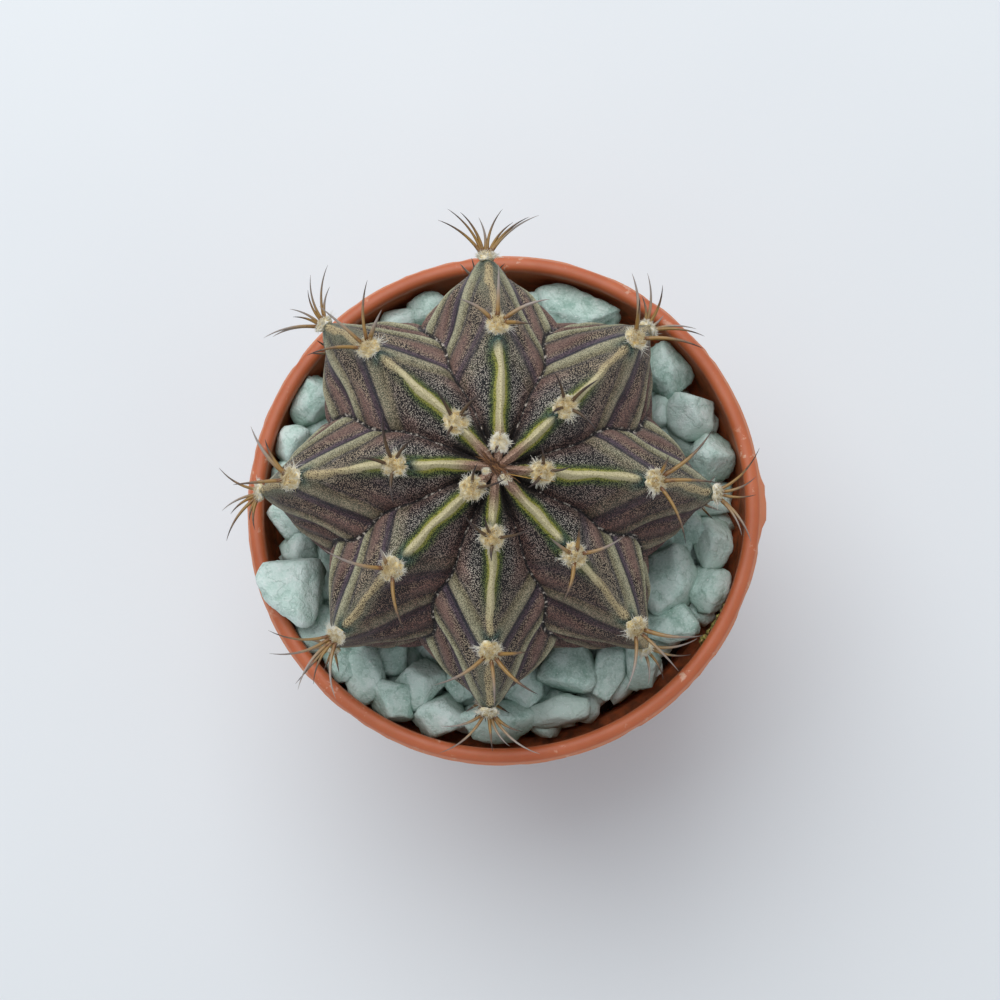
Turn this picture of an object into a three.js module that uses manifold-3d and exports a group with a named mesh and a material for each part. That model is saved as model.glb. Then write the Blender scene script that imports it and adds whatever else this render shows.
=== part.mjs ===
// A small eight-ribbed globe cactus in a round plastic nursery pot, top-dressed with pale gravel.
// Millimetres, +Z up, origin at the centre of the pot's underside.

import * as THREE from "three";
import { mergeVertices } from "three/addons/utils/BufferGeometryUtils.js";
import Module from "manifold-3d";

const wasm = await Module();
wasm.setup();

// Pot
const potHeight = 48;
const rimRadius = 27.5;
const lipWidth = 1.8;
const lipHeight = 1.7;
const collarTopRadius = 26.9;
const collarBottomRadius = 26.3;
const collarHeight = 8.6;
const bodyTopRadius = 25.3;
const baseRadius = 19.4;
const wallThickness = 0.9;
const floorThickness = 1.2;
const potSides = 40;
const roomSides = 20;
const drainHoles = { count: 5, radius: 2, ringRadius: 12.5, sides: 12 };
const flashTab = { height: 0.9, width: 5.2, depth: 1.4, reach: 0.45 };

// Clearance between pieces that touch on the real plant
const clearance = 0.3;
// a little more round the plant's ribs, which gravel and soil follow loosely
const plantRoomGap = 0.8;

// Plant: where its axis crosses the rim plane, and the way that axis leans
const plantShift = { x: -1.7, y: 1.6 };
const plantLean = { x: 0.118, y: -0.065 };

// Crest of a rib from the crown to the end of the tap root: radius and height above the rim,
// one point for every four steps of age, where one step is the time between two areoles
const crestPoints = [
  [0, 21], [3.2, 20.8], [8.4, 19.6], [14.2, 17], [18.9, 13.7], [22.1, 10.3], [22.9, 6.7], [22.3, 3.2],
  [20.8, -0.2], [18.6, -3.4], [16, -6.5], [12.9, -9.4], [9.2, -12.1], [6, -15.5], [4.2, -20],
  [2.8, -26.5], [0, -33],
];
const agePerPoint = 4;
const lastAge = (crestPoints.length - 1) * agePerPoint;

// Ribs, counted counterclockwise from +X
const ribCount = 8;
const ribStep = 360 / ribCount;
// how fast each rib has grown, and how far its outer end swings round, in degrees
const ribGrowth = [1, 1.05, 1.1, 1.03, 0.98, 0.95, 0.95, 0.97];
const ribSwing = [-2.6, 0, 1.7, 2, 2.6, 1.3, 0, -0.8];
const crownTwist = 9;
const furrowRatio = 0.75;
const furrowDrop = 1.3;
const furrowZigzag = 2.4;
const crestRounding = 0.05;
const tubercleHeight = 0.55;
// Each areole has one pleat down both flanks of its rib. It starts beside the areole, runs close along the
// crest and sweeps back to the furrow, where pleats lie half as far apart as areoles do, in steps of age.
const pleatHeight = 0.8;
const pleatGroove = 0.18;
const firstPleatAge = 5.5;
const pleatSpacing = 0.5;
const pleatReach = 8;
const pleatSweep = 1.8;
const pleatShoulder = 0.92;

// Areoles: one spiral round the crown, each next one this many degrees further round
const areoleCount = 32;
const areoleTurn = 135;
const firstAreoleAngle = 180;
const padSides = 6;
const padRings = 3;
const spineSides = 3;
const spineSteps = 3;
const spineThickness = 0.42;
// Spines of the young areoles round the crown, which lean back over it: turn away from straight outwards, and
// length as seen from above
const youngFans = {
  3: [[-145, 1.8], [155, 2.7]],
  4: [[106, 1.9], [-132, 1.7], [13, 1.9]],
  5: [[-8, 2.8], [-89, 3.2], [118, 1.8]],
  6: [[-126, 3.1], [111, 3.8], [-158, 1.7], [0, 1.5]],
  7: [[73, 2.8], [-4, 3.1], [-87, 3], [170, 1.3]],
  8: [[-77, 4.2], [-132, 2.8], [-6, 2.8], [94, 3.2]],
};

// Top dressing and soil
const soilTop = 38.6;
const gravelFloor = soilTop + clearance;
const coreTop = 42.4;
// the gravel is heaped a little higher on the left
const gravelSlope = -0.045;
// stones that lie in view: place across and along, length, width, turn in degrees, height above the rest
const seenStones = [
  [-20.8, 12, 6.1, 4.1, 90, 0.3], [-22.9, 7.1, 4.6, 4.2, 60, 0.2], [-23.6, 3.6, 3.8, 3.4, 0, 0],
  [-23.2, -0.6, 4.5, 4, 20, 0.2], [-22.4, -4.4, 4, 3.6, 0, 0], [-22.4, -9, 7.4, 6.8, 40, 2.9],
  [-18.9, -7.6, 3.8, 3.6, 0, 0], [-20.2, -13, 6.5, 4, 20, 0.3], [-17.4, -16.4, 4.4, 4, 0, 0.3],
  [-14.8, -17.3, 6.5, 4.3, 110, 0.6], [-12, -15.6, 4, 3.6, 0, 0], [-11.9, -20.3, 4.8, 4.4, 140, 0.4],
  [-8.8, -18.9, 5, 4.6, 40, 0.3], [-6.6, -22, 5.2, 4.6, 20, 0.3], [-4.6, -18.6, 4, 3.8, 0, 0],
  [-0.5, -22.6, 8, 4, 175, 0.5], [2, -19.1, 5, 4.2, 70, 0.2], [5.9, -21.6, 6.5, 3.8, 15, 0.3],
  [7, -17.2, 6, 5.4, 30, 0.6], [11.1, -16.4, 6.5, 3.9, 85, 0.4], [14.5, -16.4, 6.5, 3.8, 100, 0.4],
  [17.8, -12.6, 5.4, 4.4, 20, 0.4], [18, -7.8, 6.5, 5.4, 80, 0.6], [22, -8.4, 5.4, 3.8, 80, 0.3],
  [18.5, -4.6, 3.2, 3, 0, 0], [22.4, -3.8, 4.9, 3.8, 60, 0.4], [19.8, -2, 4.3, 3.8, 0, 0.1],
  [16.9, -3, 3.8, 3.4, 0, 0], [22.4, 1, 4.9, 3.2, 10, 0], [22.3, 5.7, 5.4, 4.3, 80, 0.3],
  [20.6, 10.6, 4.9, 4.8, 0, 0.4], [17.6, 15, 5.4, 5.2, 30, 0.5], [16.9, 10.6, 4.2, 3.8, 0, 0],
  [7.6, 21.9, 9.4, 4.6, 165, 0.6], [2.7, 22.6, 3.8, 3.4, 0, 0], [-8.3, 22.2, 4, 3.6, 0, 0],
  [-11.8, 20.5, 4.2, 3.8, 30, 0], [-15.2, 18.6, 4.2, 3.8, 0, 0.2], [-21.6, -9.2, 5, 4.8, 0, 0.4],
];
// small stones that fill in between and below them
const filler = { count: 12, innerRadius: 14.5, outerRadius: 22.8, rise: 0.2, size: 3.9 };

const potColour = 0xb4532f;
const plantColour = 0x50453f;
const areoleColour = 0xc4ad84;
const gravelColour = 0xa8bdb2;
const soilColour = 0x3b2c21;

const radians = THREE.MathUtils.degToRad;

function seededRandom(seed) {
  let state = seed;
  return () => {
    state = (state * 1664525 + 1013904223) % 4294967296;
    return state / 4294967296;
  };
}

function solidOf(geometry) {
  const bare = geometry.clone();
  bare.deleteAttribute("normal");
  bare.deleteAttribute("uv");
  const merged = mergeVertices(bare, 1e-4);
  return new wasm.Manifold(new wasm.Mesh({
    numProp: 3,
    vertProperties: new Float32Array(merged.attributes.position.array),
    triVerts: new Uint32Array(merged.index.array),
  }));
}

function geometryOf(solid) {
  const mesh = solid.getMesh();
  const geometry = new THREE.BufferGeometry();
  geometry.setAttribute("position", new THREE.BufferAttribute(mesh.vertProperties, 3));
  geometry.setIndex(new THREE.BufferAttribute(mesh.triVerts, 1));
  return geometry;
}

function pieceOf(name, geometry, color, roughness) {
  const material = new THREE.MeshStandardMaterial({ color, roughness, metalness: 0 });
  const mesh = new THREE.Mesh(geometry, material);
  mesh.name = name;
  return mesh;
}

// Moves every vertex of a geometry to the place that a function of its old place gives.
function reshape(geometry, place) {
  const position = geometry.attributes.position;
  const point = new THREE.Vector3();
  for (let i = 0; i < position.count; i += 1) {
    point.fromBufferAttribute(position, i);
    const moved = place(point, i);
    position.setXYZ(i, moved.x, moved.y, moved.z);
  }
  return geometry;
}

// A lathe turns about Y, and its profile goes up on the outside; the pot and soil turn about Z.
function turned(profile, sides) {
  const points = profile.map(([radius, height]) => new THREE.Vector2(radius, height));
  return new THREE.LatheGeometry(points, sides).rotateX(Math.PI / 2);
}

function smoothStep(from, to, value) {
  return THREE.MathUtils.smoothstep(value, from, to);
}

// Pot

const shoulderHeight = potHeight - collarHeight;

// The pot's inner side from the floor up to the lip, moved inwards by a gap.
function potInside(gap) {
  return [
    [baseRadius - wallThickness - 0.4 - gap, floorThickness + gap],
    [baseRadius - wallThickness + 0.1 - gap, floorThickness + 0.6 + gap],
    [bodyTopRadius - wallThickness - gap, shoulderHeight + gap],
    [collarBottomRadius - wallThickness - gap, shoulderHeight + 0.5 + gap],
    [collarTopRadius - wallThickness - gap, potHeight - lipHeight],
    [rimRadius - lipWidth - gap, potHeight - 0.9],
    [rimRadius - lipWidth + 0.25 - gap, potHeight - 0.3 + gap],
  ];
}

function potShell() {
  const outside = [
    [0, 0],
    [baseRadius - 0.6, 0],
    [baseRadius, 0.6],
    [bodyTopRadius, shoulderHeight - 0.5],
    [collarBottomRadius, shoulderHeight - 0.3],
    [collarTopRadius, potHeight - lipHeight],
    [rimRadius, potHeight - lipHeight + 0.3],
    [rimRadius, potHeight - 0.6],
    [rimRadius - 0.5, potHeight - 0.1],
    [rimRadius - 0.9, potHeight],
    [rimRadius - 1.3, potHeight - 0.05],
  ];
  const inside = potInside(0).reverse();
  return turned([...outside, ...inside, [0, floorThickness]], potSides);
}

function drainHole(index) {
  const angle = radians((360 / drainHoles.count) * (index + 0.5));
  const hole = new THREE.CylinderGeometry(drainHoles.radius, drainHoles.radius, 6, drainHoles.sides);
  hole.rotateX(Math.PI / 2);
  hole.translate(drainHoles.ringRadius * Math.cos(angle), drainHoles.ringRadius * Math.sin(angle), 0);
  return solidOf(hole);
}

function pot() {
  let solid = solidOf(potShell());
  for (let i = 0; i < drainHoles.count; i += 1) solid = solid.subtract(drainHole(i));
  // a nib of flash that the mould left on the lip
  const nib = new THREE.BoxGeometry(flashTab.depth, flashTab.width, flashTab.height);
  nib.translate(rimRadius + flashTab.reach - flashTab.depth / 2, 0, potHeight - lipHeight / 2);
  return solid.add(solidOf(nib));
}

// Plant

const crestCurve = new THREE.SplineCurve(
  crestPoints.map(([radius, height]) => new THREE.Vector2(radius, height)),
);

function crestAt(age) {
  return crestCurve.getPoint(THREE.MathUtils.clamp(age / lastAge, 0, 1));
}

// Direction square to the crest in the upright plane through it, pointing out of the plant.
function crestNormal(age) {
  const before = crestAt(Math.max(age - 0.4, 0));
  const after = crestAt(Math.min(age + 0.4, lastAge));
  return new THREE.Vector2(before.y - after.y, after.x - before.x).normalize();
}

// Number of the first areole on a rib, which the spiral gives
function firstAreoleOf(rib) {
  return (3 * (rib + 4)) % ribCount;
}

// How far along its rib an age lies, in areoles: whole numbers are areoles.
function areolePhase(rib, age) {
  return ((age - 1) / ribGrowth[rib] - firstAreoleOf(rib)) / ribCount;
}

// How far out from the furrow (0) to the crest (1) the skin stands, across half a rib
function ribSection(across) {
  const eased = Math.sqrt(across * across + crestRounding * crestRounding) - crestRounding;
  return 0.82 * (1 - eased) ** 1.9 + 0.18 * (1 - eased ** 5);
}

function furrowAt(age) {
  const opening = smoothStep(0, 9, age) * (1 - smoothStep(34, 46, age));
  return 1 - (1 - furrowRatio) * (0.3 + 0.7 * opening) * (1 - smoothStep(40, 48, age));
}

// Age at which areole number n stands on the crest of its rib
function areoleAge(rib, n) {
  return 1 + n * ribGrowth[rib];
}

// How much further out a pleat lies on the crest than at the furrow, where its age is the given one.
// It starts softly, ends at the reach, and fades under the plant.
function pleatFan(rib, age) {
  const softness = 1.5;
  const wanted = areoleAge(rib, (age - firstPleatAge) / pleatSpacing) - age;
  const started = Math.log(1 + Math.exp(softness * wanted)) / softness;
  return Math.min(started, pleatReach) * (1 - smoothStep(19, 40, age));
}

// Age of the skin at a place along the pleat that meets the furrow at the given age
function ageOnPleat(rib, away, age) {
  return age + Math.min((1 - away) / pleatShoulder, 1) ** pleatSweep * pleatFan(rib, age);
}

// A pleat's ridge falls quickly into the groove outside it and rises in a round swell to the next ridge.
function pleatWave(phase) {
  const part = phase - Math.floor(phase);
  if (part < pleatGroove) return 0.5 - part / pleatGroove;
  return ((part - pleatGroove) / (1 - pleatGroove)) ** 0.6 - 0.5;
}

function pleatRelief(rib, away, age) {
  const along = smoothStep(7, 13, age) * (1 - smoothStep(30, 38, age));
  const beside = smoothStep(0.08, 0.3, away) * (1 - smoothStep(0.9, 1, away));
  const phase = ((age - firstPleatAge) / pleatSpacing - firstAreoleOf(rib)) / ribCount;
  return pleatHeight * along * beside * pleatWave(phase);
}

function tubercleRelief(rib, across, age) {
  const phase = areolePhase(rib, age);
  const away = phase - Math.round(phase);
  const grown = smoothStep(3, 12, age) * (1 - smoothStep(32, 40, age));
  return tubercleHeight * grown * Math.exp(-((away / 0.15) ** 2) - (across / 0.2) ** 2);
}

// Furrows bend away from whichever neighbour has its areole there.
function furrowBend(rib, side, age) {
  const beside = (rib + side + ribCount) % ribCount;
  const own = Math.cos(2 * Math.PI * areolePhase(rib, age));
  const other = Math.cos(2 * Math.PI * areolePhase(beside, age));
  const grown = smoothStep(6, 14, age) * (1 - smoothStep(32, 42, age));
  return side * furrowZigzag * 0.5 * grown * (own - other);
}

// A point of the skin at its own age: across goes from -1 to 1 over a rib, and relief stands out from it.
function skinAt(rib, across, age, relief) {
  const side = across < 0 ? -1 : 1;
  const away = Math.abs(across);
  const beside = (rib + side + ribCount) % ribCount;
  const swing = THREE.MathUtils.lerp(ribSwing[rib], (ribSwing[rib] + ribSwing[beside]) / 2, away);
  const angle = radians(
    ribStep * (rib + across / 2) + swing * smoothStep(6, 22, age) - crownTwist * Math.exp(-age / 7)
    + furrowBend(rib, side, age) * away,
  );
  const crest = crestAt(age);
  const normal = crestNormal(age);
  const section = ribSection(away);
  const ratio = furrowAt(age);
  const drop = furrowDrop * smoothStep(0, 6, age) * (1 - smoothStep(12, 24, age));
  const raised = relief + tubercleRelief(rib, away, age);
  const radius = crest.x * (ratio + (1 - ratio) * section) + raised * normal.x;
  const height = crest.y - drop * (1 - section) + raised * normal.y;
  return new THREE.Vector3(radius * Math.cos(angle), radius * Math.sin(angle), height);
}

// The same along pleats: furrowAge is the age at which the pleat through the point meets the furrow.
function pleatedSkinAt(rib, across, furrowAge) {
  const away = Math.abs(across);
  return skinAt(rib, across, ageOnPleat(rib, away, furrowAge), pleatRelief(rib, away, furrowAge));
}

// Places across a rib where the skin has an edge: furrow, flank, shoulder, crest and back
const skinEdges = [-1, -0.68, -0.36, -0.14, 0, 0.14, 0.36, 0.68];
const roomEdges = [-1, -0.5, 0, 0.5];

function agesBetween(start, end, step) {
  const ages = [];
  for (let age = start; age < end; age += step) ages.push(age);
  return ages;
}

// Furrow ages of the skin's rings, close together where the pleats are
function ringAges(coarse) {
  if (coarse) return [0, ...agesBetween(4, 34, 3.5), 34, 40, 46, 52, 58, lastAge];
  const pleated = [...agesBetween(9.2, 22, 0.8), ...agesBetween(22, 37, 1.6)];
  return [0, ...agesBetween(1.8, 9, 1.9), ...pleated, 37.6, 40, 43, 46.5, 50, 55, 60, lastAge];
}

function skin(edges, ages) {
  const columns = ribCount * edges.length;
  const sphere = new THREE.SphereGeometry(1, columns, ages.length - 1);
  return reshape(sphere, (point, i) => {
    const column = i % (columns + 1) % columns;
    const ring = Math.floor(i / (columns + 1));
    return pleatedSkinAt(Math.floor(column / edges.length), edges[column % edges.length], ages[ring]);
  });
}

// A plainer skin with every point moved out, which makes the plant's place in gravel and soil
function skinWithRoom() {
  const plain = skin(roomEdges, ringAges(true)).deleteAttribute("normal").deleteAttribute("uv");
  const smooth = mergeVertices(plain, 1e-4);
  smooth.computeVertexNormals();
  const normal = smooth.attributes.normal;
  return reshape(smooth, (point, i) => point.clone().addScaledVector(
    new THREE.Vector3().fromBufferAttribute(normal, i), plantRoomGap,
  ));
}

// Where areole number n sits and its directions: out of the skin, down the rib, and across it
function areoleSeat(n) {
  const turn = (firstAreoleAngle + areoleTurn * n) % 360;
  const rib = Math.round(turn / ribStep) % ribCount;
  const age = areoleAge(rib, n);
  const place = skinAt(rib, 0, age, 0);
  const down = skinAt(rib, 0, age + 0.5, 0).sub(skinAt(rib, 0, Math.max(age - 0.5, 0), 0)).normalize();
  const outwards = new THREE.Vector3(place.x, place.y, 0).normalize();
  const across = new THREE.Vector3(-outwards.y, outwards.x, 0);
  const out = new THREE.Vector3().crossVectors(across, down).negate().normalize();
  return { place, out, down, across: new THREE.Vector3().crossVectors(out, down) };
}

function padRadius(n) {
  return 0.8 + 0.35 * smoothStep(0, 5, n);
}

function woolPad(n, seat, room) {
  const radius = padRadius(n) + room;
  const frame = new THREE.Matrix4().makeBasis(seat.down, seat.across, seat.out);
  const pad = new THREE.SphereGeometry(1, padSides, padRings);
  pad.rotateX(Math.PI / 2);
  pad.scale(radius * 1.12, radius, 0.75 + room);
  pad.applyMatrix4(frame);
  pad.translate(seat.place.x, seat.place.y, seat.place.z);
  return solidOf(pad);
}

// Spines of one areole: [turn away from straight outwards in degrees, length, rise above level, curl]
function spineFan(n, random) {
  const loose = (turn, length, rise, curl) => [
    turn + 12 * (random() - 0.5), length * (0.92 + 0.16 * random()), rise + 10 * (random() - 0.5), curl,
  ];
  if (n < 3) return [loose(20, 1.5, 60, 0)];
  if (n < 9) {
    return youngFans[n].map(([turn, seen]) => (
      Math.abs(turn) > 100 ? loose(turn, 1.3 * seen, 48, -16) : loose(turn, 1.15 * seen, 38, -20)
    ));
  }
  if (n < 18) {
    const short = n % 2 ? 130 : -105;
    return [loose(-56, 6.3, 12, -8), loose(2, 5.6, 4, 12), loose(54, 6.3, 12, -8), loose(short, 2.4, 42, 0)];
  }
  if (n < 26) {
    return [loose(-56, 6.4, 4, 26), loose(-28, 5.9, 0, 36), loose(2, 5.2, 8, 40), loose(28, 5.9, 0, 36),
      loose(54, 6.4, 4, 26)];
  }
  return [loose(-60, 4.2, 34, 20), loose(-24, 3.6, 42, 24), loose(22, 3.6, 42, 24), loose(58, 4.2, 34, 20)];
}

// A thin cone whose middle line bends: it leaves the pad at its rise above level and curls upwards.
function spine(place, heading, length, rise, curl, thickness) {
  const up = new THREE.Vector3(0, 0, 1);
  const side = new THREE.Vector3().crossVectors(up, heading);
  const cone = new THREE.ConeGeometry(thickness / 2, length, spineSides, spineSteps);
  return reshape(cone, (point) => {
    const part = point.y / length + 0.5;
    const slant = rise + curl * part;
    const middle = rise + curl * part / 2;
    const moved = place.clone();
    moved.addScaledVector(heading, length * part * Math.cos(middle) - point.x * Math.sin(slant));
    moved.addScaledVector(up, length * part * Math.sin(middle) + point.x * Math.cos(slant));
    return moved.addScaledVector(side, point.z);
  });
}

function areole(n) {
  const random = seededRandom(100 + 7 * n);
  const seat = areoleSeat(n);
  const outwards = Math.atan2(seat.place.y, seat.place.x);
  const thickness = spineThickness * (0.75 + 0.25 * smoothStep(2, 12, n));
  const root = seat.place.clone().addScaledVector(seat.out, 0.15);
  let solid = woolPad(n, seat, 0);
  for (const [turn, length, rise, curl] of spineFan(n, random)) {
    const way = outwards + radians(turn);
    const heading = new THREE.Vector3(Math.cos(way), Math.sin(way), 0);
    solid = solid.add(solidOf(spine(root, heading, length, radians(rise), radians(curl), thickness)));
  }
  return solid;
}

function areolePit(n) {
  return woolPad(n, areoleSeat(n), clearance + 0.05);
}

function plantBody() {
  let solid = solidOf(skin(skinEdges, ringAges(false)));
  for (let n = 0; n < areoleCount; n += 1) solid = solid.subtract(areolePit(n));
  return solid;
}

// Gravel and soil

function largestBody(solid) {
  const bodies = solid.decompose();
  return bodies.reduce((best, body) => (body.volume() > best.volume() ? body : best));
}

function gravelLevel(x) {
  return coreTop + gravelSlope * x;
}

// The ring of small grit that all the stones are bedded in
function gravelCore() {
  const radius = bodyTopRadius - wallThickness - clearance;
  const ring = turned([[0, gravelFloor], [radius, gravelFloor], [radius, coreTop], [0, coreTop]], roomSides);
  return reshape(ring, (point) => (
    point.z > gravelFloor + 1 ? new THREE.Vector3(point.x, point.y, gravelLevel(point.x)) : point
  ));
}

// An angular pebble: a regular solid with each corner pushed in or out a little
function stone(random, length, width, thickness) {
  const shape = length > 5 ? new THREE.OctahedronGeometry(1, 1) : new THREE.IcosahedronGeometry(1, 0);
  shape.deleteAttribute("normal");
  shape.deleteAttribute("uv");
  const pebble = reshape(mergeVertices(shape, 1e-4), (point) => {
    const square = 1 / Math.max(Math.abs(point.x), Math.abs(point.y), Math.abs(point.z));
    return point.clone().multiplyScalar(THREE.MathUtils.lerp(1, square, 0.35) * (0.88 + 0.2 * random()));
  });
  pebble.scale(length / 2, width / 2, thickness / 2);
  return pebble;
}

// A stone in view, sunk a little way into the layer below it
function seenStone([x, y, length, width, turn, lift], random) {
  const thickness = width * 0.95;
  const pebble = stone(random, length * 1.08, width * 1.08, thickness);
  pebble.rotateX(0.5 * (random() - 0.5)).rotateY(0.5 * (random() - 0.5)).rotateZ(radians(turn));
  return solidOf(pebble.translate(x, y, gravelLevel(x) + thickness * 0.36 + lift));
}

function fillerStone(index, random) {
  const angle = radians(index * 137.5);
  const radius = filler.innerRadius + (filler.outerRadius - filler.innerRadius) * Math.sqrt(random());
  const size = filler.size * (0.8 + 0.4 * random());
  const pebble = stone(random, size * 1.2, size, size * 0.9);
  pebble.rotateX(2 * random()).rotateZ(6.3 * random());
  const x = radius * Math.cos(angle);
  return solidOf(pebble.translate(x, radius * Math.sin(angle), gravelLevel(x) + filler.rise));
}

// Everything that the pot's wall and lip need to themselves, with the clearance
function potRoom() {
  const inside = potInside(clearance).slice(1);
  const outer = rimRadius + 8;
  const top = potHeight + clearance;
  return solidOf(turned([
    [outer, floorThickness], [outer, top], [rimRadius - 0.4, top], ...inside.reverse(),
    [inside[inside.length - 1][0], floorThickness], [outer, floorThickness],
  ], roomSides));
}

function plantRoom(placement) {
  return solidOf(skinWithRoom().applyMatrix4(placement));
}

function gravel(placement) {
  const random = seededRandom(29);
  let solid = solidOf(gravelCore());
  for (const seen of seenStones) solid = solid.add(seenStone(seen, random));
  for (let i = 0; i < filler.count; i += 1) solid = solid.add(fillerStone(i, random));
  return largestBody(solid.subtract(plantRoom(placement)).subtract(potRoom()));
}

function soil(placement) {
  const [[floorRadius, floorLevel], [toeRadius, toeLevel], [topRadius, topLevel]] = potInside(clearance);
  const slope = (topRadius - toeRadius) / (topLevel - toeLevel);
  const plug = turned([
    [0, floorLevel], [floorRadius, floorLevel], [toeRadius, toeLevel],
    [toeRadius + slope * (soilTop - toeLevel), soilTop], [0, soilTop],
  ], potSides);
  return largestBody(solidOf(plug).subtract(plantRoom(placement)));
}

// Assembly

const plant = new THREE.Group();
plant.position.set(plantShift.x, plantShift.y, potHeight);
plant.quaternion.setFromUnitVectors(
  new THREE.Vector3(0, 0, 1), new THREE.Vector3(plantLean.x, plantLean.y, 1).normalize(),
);
plant.updateMatrix();
plant.add(pieceOf("cactus_body", geometryOf(plantBody()), plantColour, 0.6));
for (let n = 0; n < areoleCount; n += 1) {
  const name = `areole_${String(n).padStart(2, "0")}`;
  plant.add(pieceOf(name, geometryOf(areole(n)), areoleColour, 0.9));
}

const pottedCactus = new THREE.Group();
pottedCactus.add(pieceOf("pot", geometryOf(pot()), potColour, 0.5));
pottedCactus.add(pieceOf("soil", geometryOf(soil(plant.matrix)), soilColour, 1));
pottedCactus.add(pieceOf("gravel", geometryOf(gravel(plant.matrix)), gravelColour, 0.95));
pottedCactus.add(plant);

export default pottedCactus;
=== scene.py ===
import math
from functools import partial

import bmesh
import bpy
import numpy as np
from mathutils import Matrix, Vector, noise


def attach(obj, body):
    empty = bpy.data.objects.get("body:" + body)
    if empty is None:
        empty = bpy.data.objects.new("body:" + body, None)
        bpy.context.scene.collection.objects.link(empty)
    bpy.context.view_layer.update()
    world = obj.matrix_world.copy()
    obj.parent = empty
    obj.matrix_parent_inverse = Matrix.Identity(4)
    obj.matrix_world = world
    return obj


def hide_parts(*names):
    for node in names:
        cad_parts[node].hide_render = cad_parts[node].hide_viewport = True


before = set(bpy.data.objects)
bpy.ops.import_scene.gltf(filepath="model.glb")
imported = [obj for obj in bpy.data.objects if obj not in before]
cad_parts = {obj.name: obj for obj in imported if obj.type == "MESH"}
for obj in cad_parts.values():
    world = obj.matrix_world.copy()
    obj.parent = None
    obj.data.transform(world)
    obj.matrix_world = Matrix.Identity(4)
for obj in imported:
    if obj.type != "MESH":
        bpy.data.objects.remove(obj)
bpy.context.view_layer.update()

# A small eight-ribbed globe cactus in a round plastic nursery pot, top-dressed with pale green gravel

mm = 0.001
toMetres = Matrix.Scale(mm, 4)


# Small tools

def seededRandom(seed):
    state = [seed]

    def draw():
        state[0] = (state[0] * 1664525 + 1013904223) % 4294967296
        return state[0] / 4294967296
    return draw


def smoothStep(low, high, value):
    part = np.clip((value - low) / (high - low), 0, 1)
    return part * part * (3 - 2 * part)


def span(value, start, full, fading, gone):  # rises from start to full and falls from fading to gone
    return smoothStep(start, full, value) * (1 - smoothStep(fading, gone, value))


def hump(value, middle, width):
    return np.exp(-(((value - middle) / width) ** 2))


def around(angle, radius=1, height=0):
    return Vector((radius * math.cos(angle), radius * math.sin(angle), height))


def linear(hexColour):  # an sRGB hex colour as Blender's linear numbers
    channels = [int(hexColour[i:i + 2], 16) / 255 for i in (1, 3, 5)]
    return [c / 12.92 if c <= 0.04045 else ((c + 0.055) / 1.055) ** 2.4 for c in channels] + [1]


# Adds a node, links the sockets among its settings and gives back one of its outputs. The word after the kind
# is the operation or the attribute. Settings are named, or in the order of the inputs. The size of a pattern
# is in millimetres of the object's own frame
def addNode(tree, kind, settings=(), out=0):
    kind, *word = kind.split()
    node = tree.nodes.new("ShaderNode" + kind)
    if word:
        setattr(node, "attribute_name" if kind == "Attribute" else "operation", word[0])
    named = settings if isinstance(settings, dict) else dict(enumerate(settings))
    for name, value in named.items():
        if name == "size":
            node.inputs["Scale"].default_value = 1 / (value * mm)
            tree.links.new(addNode(tree, "TexCoord", out="Object"), node.inputs["Vector"])
        elif name == "stops":
            setStops(node.color_ramp.elements, value)
        elif isinstance(value, bpy.types.NodeSocket):
            tree.links.new(value, node.inputs[name])
        elif isinstance(name, int) or name in node.inputs:
            node.inputs[name].default_value = value
        else:
            setattr(node, name, value)
    return node.outputs[out]


def startMaterial(name, settings):  # gives back what adds nodes, and what links the last ones to the surface
    material = bpy.data.materials.new(name)
    material.use_nodes = True
    tree = material.node_tree
    tree.nodes.clear()
    surface = addNode(tree, "BsdfPrincipled", settings)
    tree.links.new(surface, tree.nodes.new("ShaderNodeOutputMaterial").inputs["Surface"])

    def finish(sockets):
        for socket, source in sockets.items():
            tree.links.new(source, surface.node.inputs[socket])
        return material
    return partial(addNode, tree), finish


def setStops(elements, stops):  # places and hex colours along a colour ramp
    elements[0].position, elements[0].color = stops[0][0], linear(stops[0][1])
    elements[1].position, elements[1].color = stops[-1][0], linear(stops[-1][1])
    for place, hexColour in stops[1:-1]:
        elements.new(place).color = linear(hexColour)


def layColours(add, below, layers):  # lays each (mask, hex colour) over what is below it
    for mask, hexColour in layers:
        below = add("MixRGB", {"Fac": mask, "Color1": below, "Color2": linear(hexColour)})
    return below


def addLayers(bm, *names):
    return {name: bm.verts.layers.float.new(name) for name in names}


def meshFrom(name, bm, matrix=None):
    if matrix:
        bmesh.ops.transform(bm, matrix=matrix, verts=bm.verts)
    mesh = bpy.data.meshes.new(name)
    bm.to_mesh(mesh)
    bm.free()
    return mesh


def newObject(name, data):
    made = bpy.data.objects.new(name, data)
    bpy.context.scene.collection.objects.link(made)
    return made


def newPiece(mesh, materials, replaced=()):
    for material in materials:
        mesh.materials.append(material)
    mesh.shade_smooth()
    piece = newObject(mesh.name, mesh)
    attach(piece, "root")
    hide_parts(*replaced)
    return piece


# The plant's form, as in the frame: millimetres and degrees, with age counted in steps between two areoles

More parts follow.
